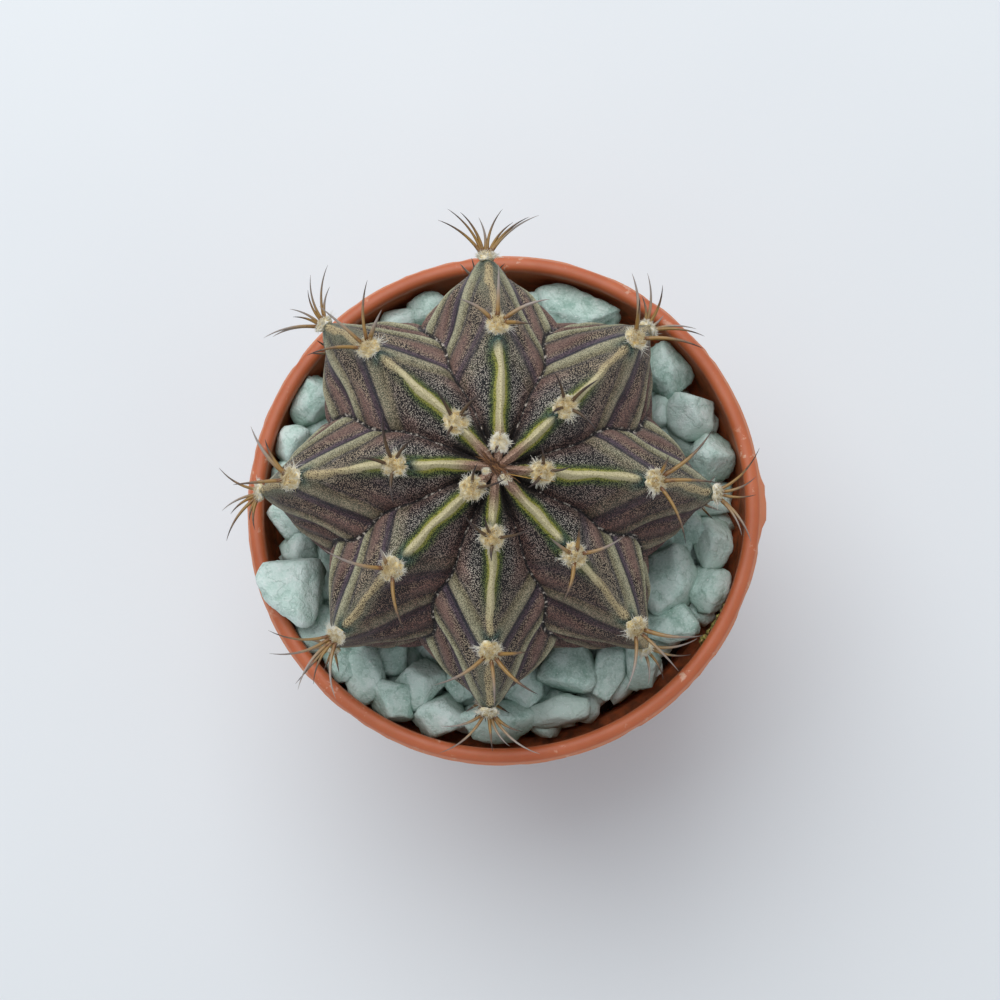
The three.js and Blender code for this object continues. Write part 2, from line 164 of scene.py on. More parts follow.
plant = {
    "shift": (-1.7, 1.6, 48),
    "lean": (0.118, -0.065, 1),
    "crest": [
        (0, 21), (3.2, 20.8), (8.4, 19.6), (14.2, 17), (18.9, 13.7), (22.1, 10.3), (22.9, 6.7), (22.3, 3.2),
        (20.8, -0.2), (18.6, -3.4), (16, -6.5), (12.9, -9.4), (9.2, -12.1), (6, -15.5), (4.2, -20),
        (2.8, -26.5), (0, -33),
    ],
    "agePerPoint": 4,
    "lastAge": 64,
    "ribCount": 8,
    "ribGrowth": [1, 1.05, 1.1, 1.03, 0.98, 0.95, 0.95, 0.97],
    "ribSwing": [-2.6, 0, 1.7, 2, 2.6, 1.3, 0, -0.8],
    "crownTwist": 9,
    "furrowRatio": 0.75,
    "furrowDrop": 1.3,
    "furrowZigzag": 2.4,
    "crestRounding": 0.05,
    "tubercleHeight": 0.55,
    "pleatHeight": 0.8,
    "pleatGroove": 0.26,
    "firstPleatAge": 5.5,
    "pleatSpacing": 0.5,
    "pleatReach": 8,
    "pleatSweep": 1.8,
    "pleatShoulder": 0.92,
    "bandHeight": 0.4,
    "bandWidth": 0.6,
    "areoleCount": 32,
    "areoleTurn": 135,
    "firstAreoleAngle": 180,
}
ribCount = plant["ribCount"]
ribGrowth = np.array(plant["ribGrowth"])
ribSwing = np.array(plant["ribSwing"])
crestPoints = np.array(plant["crest"], float)
leanTurn = Vector((0, 0, 1)).rotation_difference(Vector(plant["lean"]).normalized())
plantMatrix = toMetres @ Matrix.Translation(plant["shift"]) @ leanTurn.to_matrix().to_4x4()


def crestAt(age):  # radius and height of the rib crest, on a smooth line through its points
    last = len(crestPoints) - 1
    place = np.clip(np.asarray(age, float) / plant["agePerPoint"], 0, last)
    first = np.minimum(place.astype(int), last - 1)
    part = (place - first)[..., None]
    a, b, c, d = (crestPoints[np.clip(first + k, 0, last)] for k in (-1, 0, 1, 2))
    slopeB, slopeC = (c - a) / 2, (d - b) / 2
    cubic = 2 * b - 2 * c + slopeB + slopeC
    square = 3 * c - 3 * b - 2 * slopeB - slopeC
    return cubic * part ** 3 + square * part ** 2 + slopeB * part + b


def crestNormal(age):
    along = crestAt(np.minimum(age + 0.4, plant["lastAge"])) - crestAt(np.maximum(age - 0.4, 0))
    normal = np.stack([-along[..., 1], along[..., 0]], -1)
    return normal / np.linalg.norm(normal, axis=-1, keepdims=True)


def firstAreoleOf(rib):
    return (3 * (rib + 4)) % ribCount


def areoleAge(rib, n):
    return 1 + n * ribGrowth[rib]


def areolePhase(rib, age):  # whole numbers are areoles
    return ((age - 1) / ribGrowth[rib] - firstAreoleOf(rib)) / ribCount


def ribSection(away):  # 1 on the crest, 0 in the furrow
    rounding = plant["crestRounding"]
    eased = np.sqrt(away * away + rounding * rounding) - rounding
    return 0.82 * (1 - eased) ** 1.9 + 0.18 * (1 - eased ** 5)


def furrowAt(age):
    opening = span(age, 0, 9, 34, 46)
    return 1 - (1 - plant["furrowRatio"]) * (0.3 + 0.7 * opening) * (1 - smoothStep(40, 48, age))


def pleatFan(rib, age):
    softness = 1.5
    wanted = areoleAge(rib, (age - plant["firstPleatAge"]) / plant["pleatSpacing"]) - age
    started = np.log1p(np.exp(softness * wanted)) / softness
    return np.minimum(started, plant["pleatReach"]) * (1 - smoothStep(19, 40, age))


def ageOnPleat(rib, away, age):
    share = np.minimum((1 - away) / plant["pleatShoulder"], 1)
    return age + share ** plant["pleatSweep"] * pleatFan(rib, age)


def pleatPhase(rib, age):  # whole numbers are the ridges
    return ((age - plant["firstPleatAge"]) / plant["pleatSpacing"] - firstAreoleOf(rib)) / ribCount


def pleatWave(phase):  # a round ridge, a quick fall to the groove and a swell up to the next ridge
    part = phase - np.floor(phase)
    groove = plant["pleatGroove"]
    rising = np.maximum(part - groove, 0) / (1 - groove)
    falling = 0.5 * np.cos(np.pi * np.minimum(part / groove, 1))
    return np.where(part < groove, falling, -0.5 * np.cos(np.pi * rising ** 0.72))


def pleatRelief(rib, away, age):
    along, beside = span(age, 7, 13, 30, 38), span(away, 0.08, 0.3, 0.9, 1)
    return plant["pleatHeight"] * along * beside * pleatWave(pleatPhase(rib, age))


def tubercleRelief(rib, away, age):
    off = areolePhase(rib, age)
    off = off - np.round(off)
    grown = span(age, 3, 12, 32, 40)
    return plant["tubercleHeight"] * grown * hump(off, 0, 0.15) * hump(away, 0, 0.2)


def furrowBend(rib, side, age):
    beside = (rib + side) % ribCount
    own = np.cos(2 * np.pi * areolePhase(rib, age))
    other = np.cos(2 * np.pi * areolePhase(beside, age))
    grown = span(age, 6, 14, 32, 42)
    return side * plant["furrowZigzag"] * 0.5 * grown * (own - other)


def skinAt(rib, across, age, relief):
    side = np.where(across < 0, -1, 1)
    away = np.abs(across)
    beside = (rib + side) % ribCount
    swing = ribSwing[rib] + (ribSwing[beside] - ribSwing[rib]) / 2 * away
    angle = np.radians(
        360 / ribCount * (rib + across / 2) + swing * smoothStep(6, 22, age)
        - plant["crownTwist"] * np.exp(-age / 7) + furrowBend(rib, side, age) * away
    )
    crest, normal = crestAt(age), crestNormal(age)
    section, ratio = ribSection(away), furrowAt(age)
    drop = plant["furrowDrop"] * span(age, 0, 6, 12, 24)
    raised = relief + tubercleRelief(rib, away, age)
    radius = crest[..., 0] * (ratio + (1 - ratio) * section) + raised * normal[..., 0]
    height = crest[..., 1] - drop * (1 - section) + raised * normal[..., 1]
    return np.stack([radius * np.cos(angle), radius * np.sin(angle), height], -1)


# Millimetres of skin from the middle of the crest band, which wanders a little
def crestPlace(rib, across, age):
    sway = 0.16 * np.sin(1.1 * age + 2.3 * rib) + 0.07 * np.sin(2.7 * age + rib)
    return across * (0.35 + 0.5 * crestAt(age)[..., 0]) + sway * smoothStep(3, 7, age)


def areoleSeat(n):
    turn = (plant["firstAreoleAngle"] + plant["areoleTurn"] * n) % 360
    rib = round(turn / 360 * ribCount) % ribCount
    age = areoleAge(rib, n)
    place, before, after = (Vector(skinAt(rib, 0.0, a, 0.0)) for a in (age, max(age - 0.5, 0), age + 0.5))
    down = (after - before).normalized()
    outwards = Vector((place.x, place.y, 0)).normalized()
    out = -Vector((-outwards.y, outwards.x, 0)).cross(down).normalized()
    return {"place": place, "down": down, "out": out, "across": out.cross(down), "outwards": outwards}


# Skin of the plant

skinBuild = {
    # places across half a rib, from the crest to the furrow, and stretches of age with their step
    "halfPlaces": [
        0, 0.014, 0.03, 0.048, 0.07, 0.095, 0.125, 0.16, 0.2, 0.245, 0.295, 0.35, 0.41, 0.475, 0.54, 0.61,
        0.68, 0.75, 0.82, 0.89, 0.945, 0.98,
    ],
    "ageSteps": [(0, 9, 0.18), (9, 24, 0.136), (24, 36, 0.24), (36, 64, 2.0)],
    # small folds: their age from the pleat's ridge, their width in ages and their height in millimetres
    "folds": [(-0.1, 0.34, 0.18), (-1, 0.35, -0.12), (2, 0.5, 0.3)],
    # painted shade: the way that the darkened flanks face in degrees, and how dark they get
    "paintedShadeSide": -75, "paintedShadeDepth": 0.68,
}


def skinGrid():  # a sphere with a column for each place across the ribs and a ring for each age
    half = skinBuild["halfPlaces"]
    places = np.array([-1.0] + [-p for p in half[:0:-1]] + half)
    ages = np.concatenate([np.arange(*steps) for steps in skinBuild["ageSteps"]] + [[plant["lastAge"]]])
    columns, rings = ribCount * len(places), len(ages) - 1
    bm = bmesh.new()
    bmesh.ops.create_uvsphere(bm, u_segments=columns, v_segments=rings, radius=1)
    return meshFrom("plantSkin", bm), places, ages, columns, rings


def pointsOf(items, field):
    values = np.empty(len(items) * 3)
    items.foreach_get(field, values)
    return values.reshape(-1, 3)


def columnOf(points, columns):
    return np.arctan2(points[:, 1], points[:, 0]) / (2 * np.pi) * columns


def fromNearest(phase, spacing):  # ages outside the nearest whole phase, below zero when inside it
    return (phase - np.round(phase)) * ribCount * spacing


def pleatHump(pleat, middle, width):  # a hump across each pleat, which comes again on the next one
    length = ribCount * plant["pleatSpacing"]
    return hump((pleat - middle + length / 2) % length - length / 2, 0, width)


# What stands out of the plain rib: pleats, crest band, pits and puckers
def skinRelief(rib, across, furrowAge, age):
    away = np.abs(across)
    place = crestPlace(rib, across, age)
    band = hump(place, 0, plant["bandWidth"]) * smoothStep(0.3, 2, age) * (1 - 0.75 * smoothStep(12, 18, age))
    pleat = fromNearest(pleatPhase(rib, furrowAge), plant["pleatSpacing"])
    pleated = span(furrowAge, 8, 13, 29, 35) * span(away, 0.25, 0.6, 0.93, 1)
    fold = sum(height * pleatHump(pleat, middle, width) for middle, width, height in skinBuild["folds"])
    areole = fromNearest(areolePhase(rib, age), 1)
    pit = 0.2 * hump(areole, -0.35, 0.55) * hump(place, 0, 0.8) * smoothStep(2, 5, age)
    chin = 0.3 * hump(areole, -1.35, 0.5) * hump(place, 0, 0.9) * smoothStep(2, 5, age)
    wobble = 0.07 * np.sin(1.3 * age + 1.7 * rib) * np.sin(7 * away + rib)
    cleft = 0.4 * smoothStep(0.75, 1, away) * span(age, 1, 4, 11, 17)
    return (
        0.65 * pleatRelief(rib, away, furrowAge) + plant["bandHeight"] * band + (fold + wobble) * pleated
        - pit + chin - cleft
    )


# Painted shade: darker flanks on the side away from the window light, and more so at that end of the plant
def paintedShadeShare(rib, across, age):
    side, step = skinBuild["paintedShadeSide"], 360 / ribCount
    facing = np.cos(np.radians(step * rib + np.where(across < 0, -90, 90) - side))
    end = np.cos(np.radians(step * (rib + across / 2) - side))
    share = smoothStep(-0.2, 0.8, facing) * (0.72 + 0.28 * end)
    return share * span(age, 2, 5, 30, 36)


# Where each kind of skin lies: ages and pleats are in steps of age, distance and near in millimetres from the
# middle and the edge of the crest band, and away is the share of the way to the furrow
def skinMasks(rib, across, furrowAge, age):
    away = np.abs(across)
    distance = np.abs(crestPlace(rib, across, age))
    pleat = fromNearest(pleatPhase(rib, furrowAge), plant["pleatSpacing"])
    areole = fromNearest(areolePhase(rib, age), 1)
    flank = span(furrowAge, 8, 13, 31, 37) * smoothStep(0.5, 1.3, distance)
    near = distance - 0.66 - 0.07 * np.sin(1.9 * age + 3 * rib) + 0.1 * smoothStep(4, 10, age)
    return {
        "young": 1 - smoothStep(8, 14, age),
        "maroon": 0.7 * smoothStep(0.4, 0.9, away) * span(age, 2, 5, 11, 17),
        "olive": pleatHump(pleat, -0.6, 0.5) * flank,
        "blush": pleatHump(pleat, 2, 0.75) * flank * smoothStep(0.25, 0.7, away),
        "mauve": pleatHump(pleat, 0.85, 0.4) * flank,
        "tip": hump(age, 20, 5.5) * (1 - smoothStep(1, 2.8, distance)),
        "ridge": np.where(pleat < 0, hump(pleat, 0, 0.6), hump(pleat, 0, 0.34)) * flank
        * (0.5 + 0.5 * smoothStep(9, 21, furrowAge)),
        "line": np.maximum(pleatHump(pleat, 0.42, 0.2), 0.6 * pleatHump(pleat, -1.05, 0.2)) * flank,
        # painted shade on the flanks that face away from the window light
        "sunned": skinBuild["paintedShadeDepth"] * paintedShadeShare(rib, across, age) * smoothStep(0.6, 1.6, distance),
        "greenish": (1 - smoothStep(0.4, 1.7, near)) * span(age, 2, 4, 9, 14),
        # darker towards the furrows near the crown: partly pigment, partly painted shade of the deep furrows
        "cleft": (1 - smoothStep(4.5, 8, age)) * smoothStep(0.5 - 0.25 * smoothStep(2, 4, age), 0.85, away),
        "edge": (1 - smoothStep(0.05, 0.6, near)) * span(age, 2, 4, 8, 13),
        "band": (1 - smoothStep(-0.2, 0.1, near)) * span(age, 0.5, 2.5, 10, 14),
        "oldBand": (1 - smoothStep(-0.25, 0.2, near)) * span(age, 9, 13, 24, 29),
        "crown": (1 - smoothStep(2.5, 6, age)) * (1 - smoothStep(0, 0.4, near)),
        "patch": hump(areole, -0.85, 0.6) * hump(distance, 0, 1.4) * span(age, 4, 8, 26, 30),
        # painted shade: a dark line in the bottom of each furrow, which also carries the pale flakes
        "seam": smoothStep(0.955, 0.99, away) * smoothStep(0.5, 3, age),
        "cork": smoothStep(33, 42, age),
    }


def plantSkin(material):
    mesh, places, ages, columns, rings = skinGrid()
    perRib = len(places)
    sphere = pointsOf(mesh.vertices, "co")
    column = np.round(columnOf(sphere, columns)).astype(int) % columns
    ring = np.round(np.arccos(np.clip(sphere[:, 2], -1, 1)) / np.pi * rings).astype(int)

    cornerVertex = np.empty(len(mesh.loops), int)
    mesh.loops.foreach_get("vertex_index", cornerVertex)
    cornersPerFace = np.empty(len(mesh.polygons), int)
    mesh.polygons.foreach_get("loop_total", cornersPerFace)
    faceColumn = np.floor(columnOf(pointsOf(mesh.polygons, "center"), columns)).astype(int) % columns
    cornerFaceColumn = np.repeat(faceColumn, cornersPerFace)
    cornerRib = cornerFaceColumn // perRib
    atPole = (ring[cornerVertex] == 0) | (ring[cornerVertex] == rings)
    cornerColumn = np.where(atPole, cornerFaceColumn, column[cornerVertex])
    cornerPlace = np.where(cornerColumn // perRib == cornerRib, places[cornerColumn % perRib], 1.0)
    cornerAge = ages[ring[cornerVertex]]
    trueAge = ageOnPleat(cornerRib, np.abs(cornerPlace), cornerAge)
    for name, mask in skinMasks(cornerRib, cornerPlace, cornerAge, trueAge).items():
        mesh.attributes.new(name, "FLOAT", "CORNER").data.foreach_set("value", mask)

    rib, across, furrowAge = column // perRib, places[column % perRib], ages[ring]
    age = ageOnPleat(rib, np.abs(across), furrowAge)
    relief = skinRelief(rib, across, furrowAge, age)
    turned = np.array(plantMatrix)
    points = skinAt(rib, across, age, relief) @ turned[:3, :3].T + turned[:3, 3]
    mesh.vertices.foreach_set("co", points.ravel())
    mesh.update()
    newPiece(mesh, [material], ["cactus_body"])
    print("skin", len(mesh.polygons), "faces")


skinLook = {
    "papillaSpacing": 0.12, "patchSize": 3.2, "wanderSize": 0.8, "raggedSize": 0.4, "flakeSize": 0.4,
    "between": "#150e0e", "papillae": "#a8977f", "share": 0.31,
    # how much the papillae differ, how their share grows in patches and widens them, and how sharp they are
    "raggedness": 0.09, "patchiness": 0.5, "widening": 0.5, "width": 0.2, "sharpness": 9,
    # mask, colour between the papillae, colour of the papillae, share that they cover, raggedness of the edge
    "zones": [
        ("young", "#050406", "#c9c0b3", 0.095, 0.6),
        ("maroon", "#211013", "#a9897c", 0.18, 0.9),
        ("olive", "#504a37", "#8d8568", 0.42, 0.6),
        ("blush", "#5c4640", "#84695d", 0.4, 0.7),
        ("mauve", "#382d35", "#6a5963", 0.36, 0.6),
        ("tip", "#4c4b39", "#7d7c66", 0.43, 0.4),
        ("ridge", "#86846a", "#aeac8e", 0.55, 0.6),
        ("line", "#14131b", "#4d4b5b", 0.2, 0.6),
        # painted shade on the flanks that face away from the window light
        ("sunned", "#170a0c", "#6f4b42", 0.24, 0.8),
        ("cork", "#40331f", "#8c7657", 0.5, 0.6),
        ("greenish", "#10190c", "#66743c", 0.32, 0.5),
        # partly pigment, partly painted shade of the deep furrows near the crown
        ("cleft", "#0b0808", "#4c4138", 0.1, 0.4),
        ("edge", "#4d5518", "#a09c46", 0.6, 0.5),
        ("oldBand", "#54452f", "#b4a37c", 0.62, 0.5),
        ("band", "#9a8f67", "#c3b992", 0.75, 0.3),
        ("crown", "#6a4c3e", "#ab8d79", 0.58, 0.5),
        ("patch", "#0e1c18", "#4d6c60", 0.3, 0.5),
        # painted shade in the bottom of the furrows
        ("seam", "#0a0708", "#4d4340", 0.1, 0.3),
    ],
    "flake": "#c2b8ab",
}


def skinMaterial():
    # Living epidermis, dark with pigment and set with fine pale papillae: matt, with a faint wax sheen
    add, finish = startMaterial("living cactus epidermis", {"IOR": 1.42, "Roughness": 0.62})
    look = skinLook
    wander, patches, rough, chips = (
        add("TexNoise", {"size": look[size], "Detail": detail})
        for size, detail in (("wanderSize", 3), ("patchSize", 3), ("raggedSize", 2), ("flakeSize", 4))
    )
    cells = add("TexVoronoi", {"size": look["papillaSpacing"]})
    cells = add("Math MULTIPLY_ADD", [rough, look["raggedness"], cells])

    dark, pale, share = add("RGB"), add("RGB"), add("Value")
    dark.default_value, pale.default_value = linear(look["between"]), linear(look["papillae"])
    share.default_value = look["share"]
    for name, between, papillae, covered, ragged in look["zones"]:
        mask = add("Attribute " + name, out="Fac")
        loose = add("Math MULTIPLY_ADD", [mask, 1.4, -0.2 - ragged / 2])
        loose = add("Math MULTIPLY_ADD", {"use_clamp": True, 0: wander, 1: ragged, 2: loose})
        inside = add("Math MULTIPLY", {"use_clamp": True, 0: mask, 1: 4})
        mask = add("Math MULTIPLY", [loose, inside])
        dark = layColours(add, dark, [(mask, between)])
        pale = layColours(add, pale, [(mask, papillae)])
        change = add("Math SUBTRACT", [covered, share])
        share = add("Math MULTIPLY_ADD", [change, mask, share])
    share = add("Math MULTIPLY_ADD", [patches, look["patchiness"], share])
    reach = add("Math MULTIPLY_ADD", [share, look["widening"], look["width"]])
    inwards = add("Math SUBTRACT", [reach, cells])
    dots = add("Math MULTIPLY_ADD", {"use_clamp": True, 0: inwards, 1: look["sharpness"], 2: 0.5})
    colour = add("MixRGB", {"Fac": dots, "Color1": dark, "Color2": pale})
    seam = add("Attribute seam", out="Fac")  # pale flakes on the peaks of a noise
    chips = add("Math MULTIPLY_ADD", {"use_clamp": True, 0: chips, 1: 12, 2: -6.7})
    flakes = add("Math MULTIPLY", [seam, chips])
    height = add("Math MULTIPLY", [wander, 0.6])
    height = add("Math MULTIPLY_ADD", [dots, 0.5, height])
    return finish({
        "Base Color": layColours(add, colour, [(flakes, look["flake"])]),
        "Normal": add("Bump", {"Strength": 0.45, "Distance": 0.1 * mm, "Height": height}),
        "Roughness": add("MapRange", [wander, 0, 1, 0.5, 0.72]),
    })


# Areoles: a pad of wool and a fan of curved spines each

areoleBuild = {
    "mattedHairs": 380, "edgeHairs": 150, "hairLength": 0.44, "hairThickness": 0.032,
    "spineThickness": 0.4, "spineSides": 8, "spineSteps": 11, "newestShift": (0.45, 0.5, 0),
    # first areole of each stage of growth, radius of its pad, paleness of its wool, and the share of the full
    # thickness that its spines have and how far along they keep it
    "stages": [
        (0, 0.42, 0.45, 0.8, 1.9), (1, 0.6, 0.45, 0.8, 1.9), (2, 0.95, 0.45, 0.8, 1.9),
        (3, 1.2, 0.1, 0.8, 1.9), (9, 1.2, 0.1, 0.94, 1.9), (18, 1.0, 0.3, 0.86, 1.4),
    ],
    # how each kind of spine leans: rise above level, upward curl and sideways bend, in degrees
    "youngBack": (44, -22, 40), "young": (34, -18, 34), "short": (40, 0, 12), "grown": (14, -12, 34),
    "old": (6, 30, 46), "hidden": (38, 22, 0), "hiddenTurns": (-60, -30, -4, 24, 58), "hiddenLength": 3.6,
    # each spine's turn from straight outwards in degrees, and its length as seen from above in millimetres
    "fans": {
        2: [(165, 0.8)],
        3: [(-145, 1.8), (155, 2.7)],
        4: [(106, 1.9), (-132, 1.7), (13, 1.9)],
        5: [(-8, 2.8), (-89, 3.2), (118, 1.8), (-111, 1)],
        6: [(-126, 3.1), (111, 3.8), (-158, 1.7), (0, 1.5)],
        7: [(73, 2.8), (-4, 3.1), (-87, 3), (170, 1.3)],
        8: [(-77, 4.2), (-132, 2.8), (-6, 2.8), (94, 3.2)],
        9: [(-165, 2.6), (-60, 4), (70, 4.4), (135, 2.1)],
        10: [(-100, 2.4), (-65, 4.9), (0, 5.1), (60, 3.8)],
        11: [(-110, 1.6), (-60, 5.9), (60, 5.6)],
        12: [(-65, 6.1), (0, 5.5), (45, 6.7), (70, 1.8)],
        13: [(-70, 2.8), (-45, 5.8), (5, 5.5), (55, 5.3)],
        14: [(-60, 5.6), (5, 4.6), (50, 5.4), (95, 3)],
        15: [(-55, 6), (45, 2.9), (50, 5.8)],
        16: [(-60, 3.9), (-55, 5.7), (5, 4.9)],
        17: [(-55, 5.6), (0, 5.2), (40, 5.8)],
        18: [(-55, 6), (-50, 5.2), (-40, 3.8), (-20, 4.5), (10, 3.5), (30, 4.6), (40, 5.5), (55, 5.4)],
        19: [(-50, 6), (-30, 6.1), (5, 5.6), (10, 5.9), (20, 4.7), (45, 5.6)],
        20: [(-60, 4.4), (-55, 5.4), (0, 3.5), (25, 3.8), (50, 5.6)],
        21: [(-55, 3.3), (-50, 5.3), (-30, 4.7), (-20, 3.5), (20, 3.4), (30, 2.8), (60, 4.8), (60, 5.7)],
        22: [(-75, 4.5), (-50, 5.9), (5, 3.6), (30, 3.6), (50, 6), (60, 3.4)],
        23: [(-55, 5.3), (-45, 4.6), (-5, 2), (25, 4.3), (45, 5.2), (55, 2.9)],
        24: [(-30, 4.4), (25, 4), (35, 3.4), (55, 5.6), (70, 2.6), (85, 3.5)],
        25: [(-40, 3.4), (-15, 3.5), (35, 4.2), (55, 4.7)],
    },
}


def spineFan(n, random):  # (turn, length, rise above level, upward curl, sideways bend) of each spine
    build = areoleBuild
    if n < 2:
        return []
    if n > max(build["fans"]):
        rise, curl, bend = build["hidden"]
        length = build["hiddenLength"]
        return [(turn, length, rise + 8 * random(), curl, bend) for turn in build["hiddenTurns"]]
    fan = []
    for turn, seen in build["fans"][n]:
        if n < 9:
            habit = "youngBack" if abs(turn) > 100 else "young"
        else:
            habit = "old" if n >= 18 else "short" if seen < 3.2 else "grown"
        rise, curl, bend = build[habit]
        rise += 8 * (random() - 0.5)
        middle = math.radians(rise + curl / 2)
        side = 1 if turn > 8 else -1 if turn < -8 else 2 * random() - 1
        fan.append((turn, seen / math.cos(middle), rise, curl, side * bend))
    return fan


def uprightTemplate(name, sides, cuts, tip, capped):  # a thin upright cone of height 1 and foot radius 1
    bm = bmesh.new()
    raised = Matrix.Translation((0, 0, 0.5))
    bmesh.ops.create_cone(
        bm, cap_ends=capped, segments=sides, radius1=1, radius2=tip, depth=1, matrix=raised,
    )
    upright = [edge for edge in bm.edges if abs(edge.verts[0].co.z - edge.verts[1].co.z) > 0.5]
    bmesh.ops.subdivide_edges(bm, edges=upright, cuts=cuts)
    return meshFrom(name, bm)


def copyOf(bm, template, material):  # the points of one more copy of a shape
    verts, faces = len(bm.verts), len(bm.faces)
    bm.from_mesh(template)
    bm.verts.ensure_lookup_table()
    bm.faces.ensure_lookup_table()
    for face in bm.faces[faces:]:
        face.material_index = material
    return bm.verts[verts:]


def addSpine(bm, layers, template, seat, root, spine, thickness, fullness, tone):
    turn, length, rise, curl, bend = spine
    outwards = math.atan2(seat["outwards"].y, seat["outwards"].x)
    up = Vector((0, 0, 1))
    for vert in copyOf(bm, template, 1):
        part = vert.co.z
        heading = outwards + math.radians(turn + bend * (part - 1) / 2)
        slant = math.radians(rise + curl * part)
        middle = math.radians(rise + curl * part / 2)
        level = around(heading)
        radial = Vector((vert.co.x, vert.co.y, 0)).normalized()
        radius = thickness / 2 * (1 - part ** fullness) ** 0.9 * (1 + 0.25 * math.exp(-part * 14)) + 0.012
        side = up.cross(level)
        along = level * math.cos(middle) + up * math.sin(middle)
        normal = up * math.cos(slant) - level * math.sin(slant)
        vert.co = root + along * length * part + (normal * radial.x + side * radial.y) * radius
        vert[layers["along"]] = part
        vert[layers["tone"]] = tone


def addHair(bm, layers, template, root, way, length, thickness, bend, tone):
    turn = way.to_track_quat("Z", "Y").to_matrix()
    for vert in copyOf(bm, template, 0):
        part = vert.co.z
        width = Vector((vert.co.x, vert.co.y, 0)) * thickness
        vert.co = root + turn @ (width + Vector((bend * part * part * length, 0, part * length)))
        vert[layers["along"]] = part
        vert[layers["tone"]] = tone


# Short hairs matted on the pad, and frayed at its edge
def addWool(bm, layers, hair, seat, turned, size, bleached, random):
    build = areoleBuild
    phase = 9 * random()
    for i in range(build["mattedHairs"] + build["edgeHairs"]):
        frayed = i >= build["mattedHairs"]
        edge = 0.93 + 0.06 * random() if frayed else 0.97 * math.sqrt(random())
        angle = 2 * math.pi * random()
        foot = around(angle, edge, math.sqrt(1 - edge * edge))
        upright = Vector((foot.x / size.x, foot.y / size.y, foot.z / size.z)).normalized()
        if frayed:
            tuft = max(0.5 + 2.4 * noise.noise(Vector((foot.x * 1.7, foot.y * 1.7, phase))), 0.15)
            way = Vector((foot.x, foot.y, 0.3 * random() - 0.15)) + 0.5 * randomWay(random)
            length = build["hairLength"] * size.x * (0.4 + 0.6 * random()) * tuft * (1.1 - 0.5 * foot.x)
            tone = 0.75 + 0.45 * random()
        else:
            way = randomWay(random)
            way -= upright * (way.dot(upright) - 0.15 - 0.2 * random())
            way += Vector((foot.x, foot.y, 0)) * 0.5
            length = build["hairLength"] * size.x * (0.6 + 0.6 * random())
            tone = 0.15 + bleached + 0.5 * edge ** 2 + 0.35 * (random() - 0.5)
        addHair(
            bm, layers, hair, seat["place"] + turned @ (foot * size * 0.93), turned @ way.normalized(),
            length, build["hairThickness"] * (0.8 + 0.6 * random()), 0.9 * (random() - 0.5), tone,
        )


def areolePiece(n, hair, spineShape, materials):
    random = seededRandom(900 + 13 * n)
    seat = areoleSeat(n)
    stage = [stage for stage in areoleBuild["stages"] if stage[0] <= n][-1]
    _, radius, bleached, thinness, fullness = stage
    turned = Matrix((seat["down"], seat["across"], seat["out"])).transposed()
    if n == 0:
        seat["place"] += turned @ Vector(areoleBuild["newestShift"])
    bm = bmesh.new()
    layers = addLayers(bm, "along", "tone")
    size = Vector((radius * 1.04, radius * 0.9, 0.3 + 0.17 * radius))
    for vert in bmesh.ops.create_icosphere(bm, subdivisions=4, radius=1)["verts"]:
        lobes = noise.noise(Vector((vert.co.x * 1.9, vert.co.y * 1.9, n)))
        clumps = noise.noise(vert.co * 3.4 + Vector((n, 0, 0)))
        lump = 1 + 0.24 * lobes + 0.13 * clumps + 0.06 * noise.noise(vert.co * 9 + Vector((0, n, 0)))
        vert[layers["tone"]] = bleached + 0.5 * math.hypot(vert.co.x, vert.co.y) ** 2 + 0.6 * clumps
        vert[layers["along"]] = 0
        vert.co = seat["place"] + turned @ (vert.co * size * lump)
    addWool(bm, layers, hair, seat, turned, size, bleached, random)
    thickness = areoleBuild["spineThickness"] * thinness
    for spine in spineFan(n, random):
        turn = math.radians(spine[0])
        foot = Vector((0.12 + 0.5 * math.cos(turn), 0.62 * math.sin(turn), 0))
        foot.z = 0.7 * math.sqrt(max(1 - foot.length_squared, 0))
        root = seat["place"] + turned @ (foot * size)
        tone = -0.1 if n < 9 else random()
        thick = thickness * (0.85 + 0.3 * random())
        addSpine(bm, layers, spineShape, seat, root, spine, thick, fullness, tone)
    mesh = meshFrom(f"areole_{n:02d}_wool_and_spines", bm, plantMatrix)
    newPiece(mesh, materials, [f"areole_{n:02d}"])


crownBuild = {
    "fibres": 150, "length": 1.2, "across": 1.5, "along": 0.5, "turn": -37, "thickness": 0.06, "lift": 0.3,
    # the longer thread: its ends in the plant's frame, its bend and its tone
    "threadFrom": (0.9, -0.6, 21.3), "threadTo": (5.4, -1.7, 21.45), "threadBend": 0.08, "threadTone": 1.4,
}


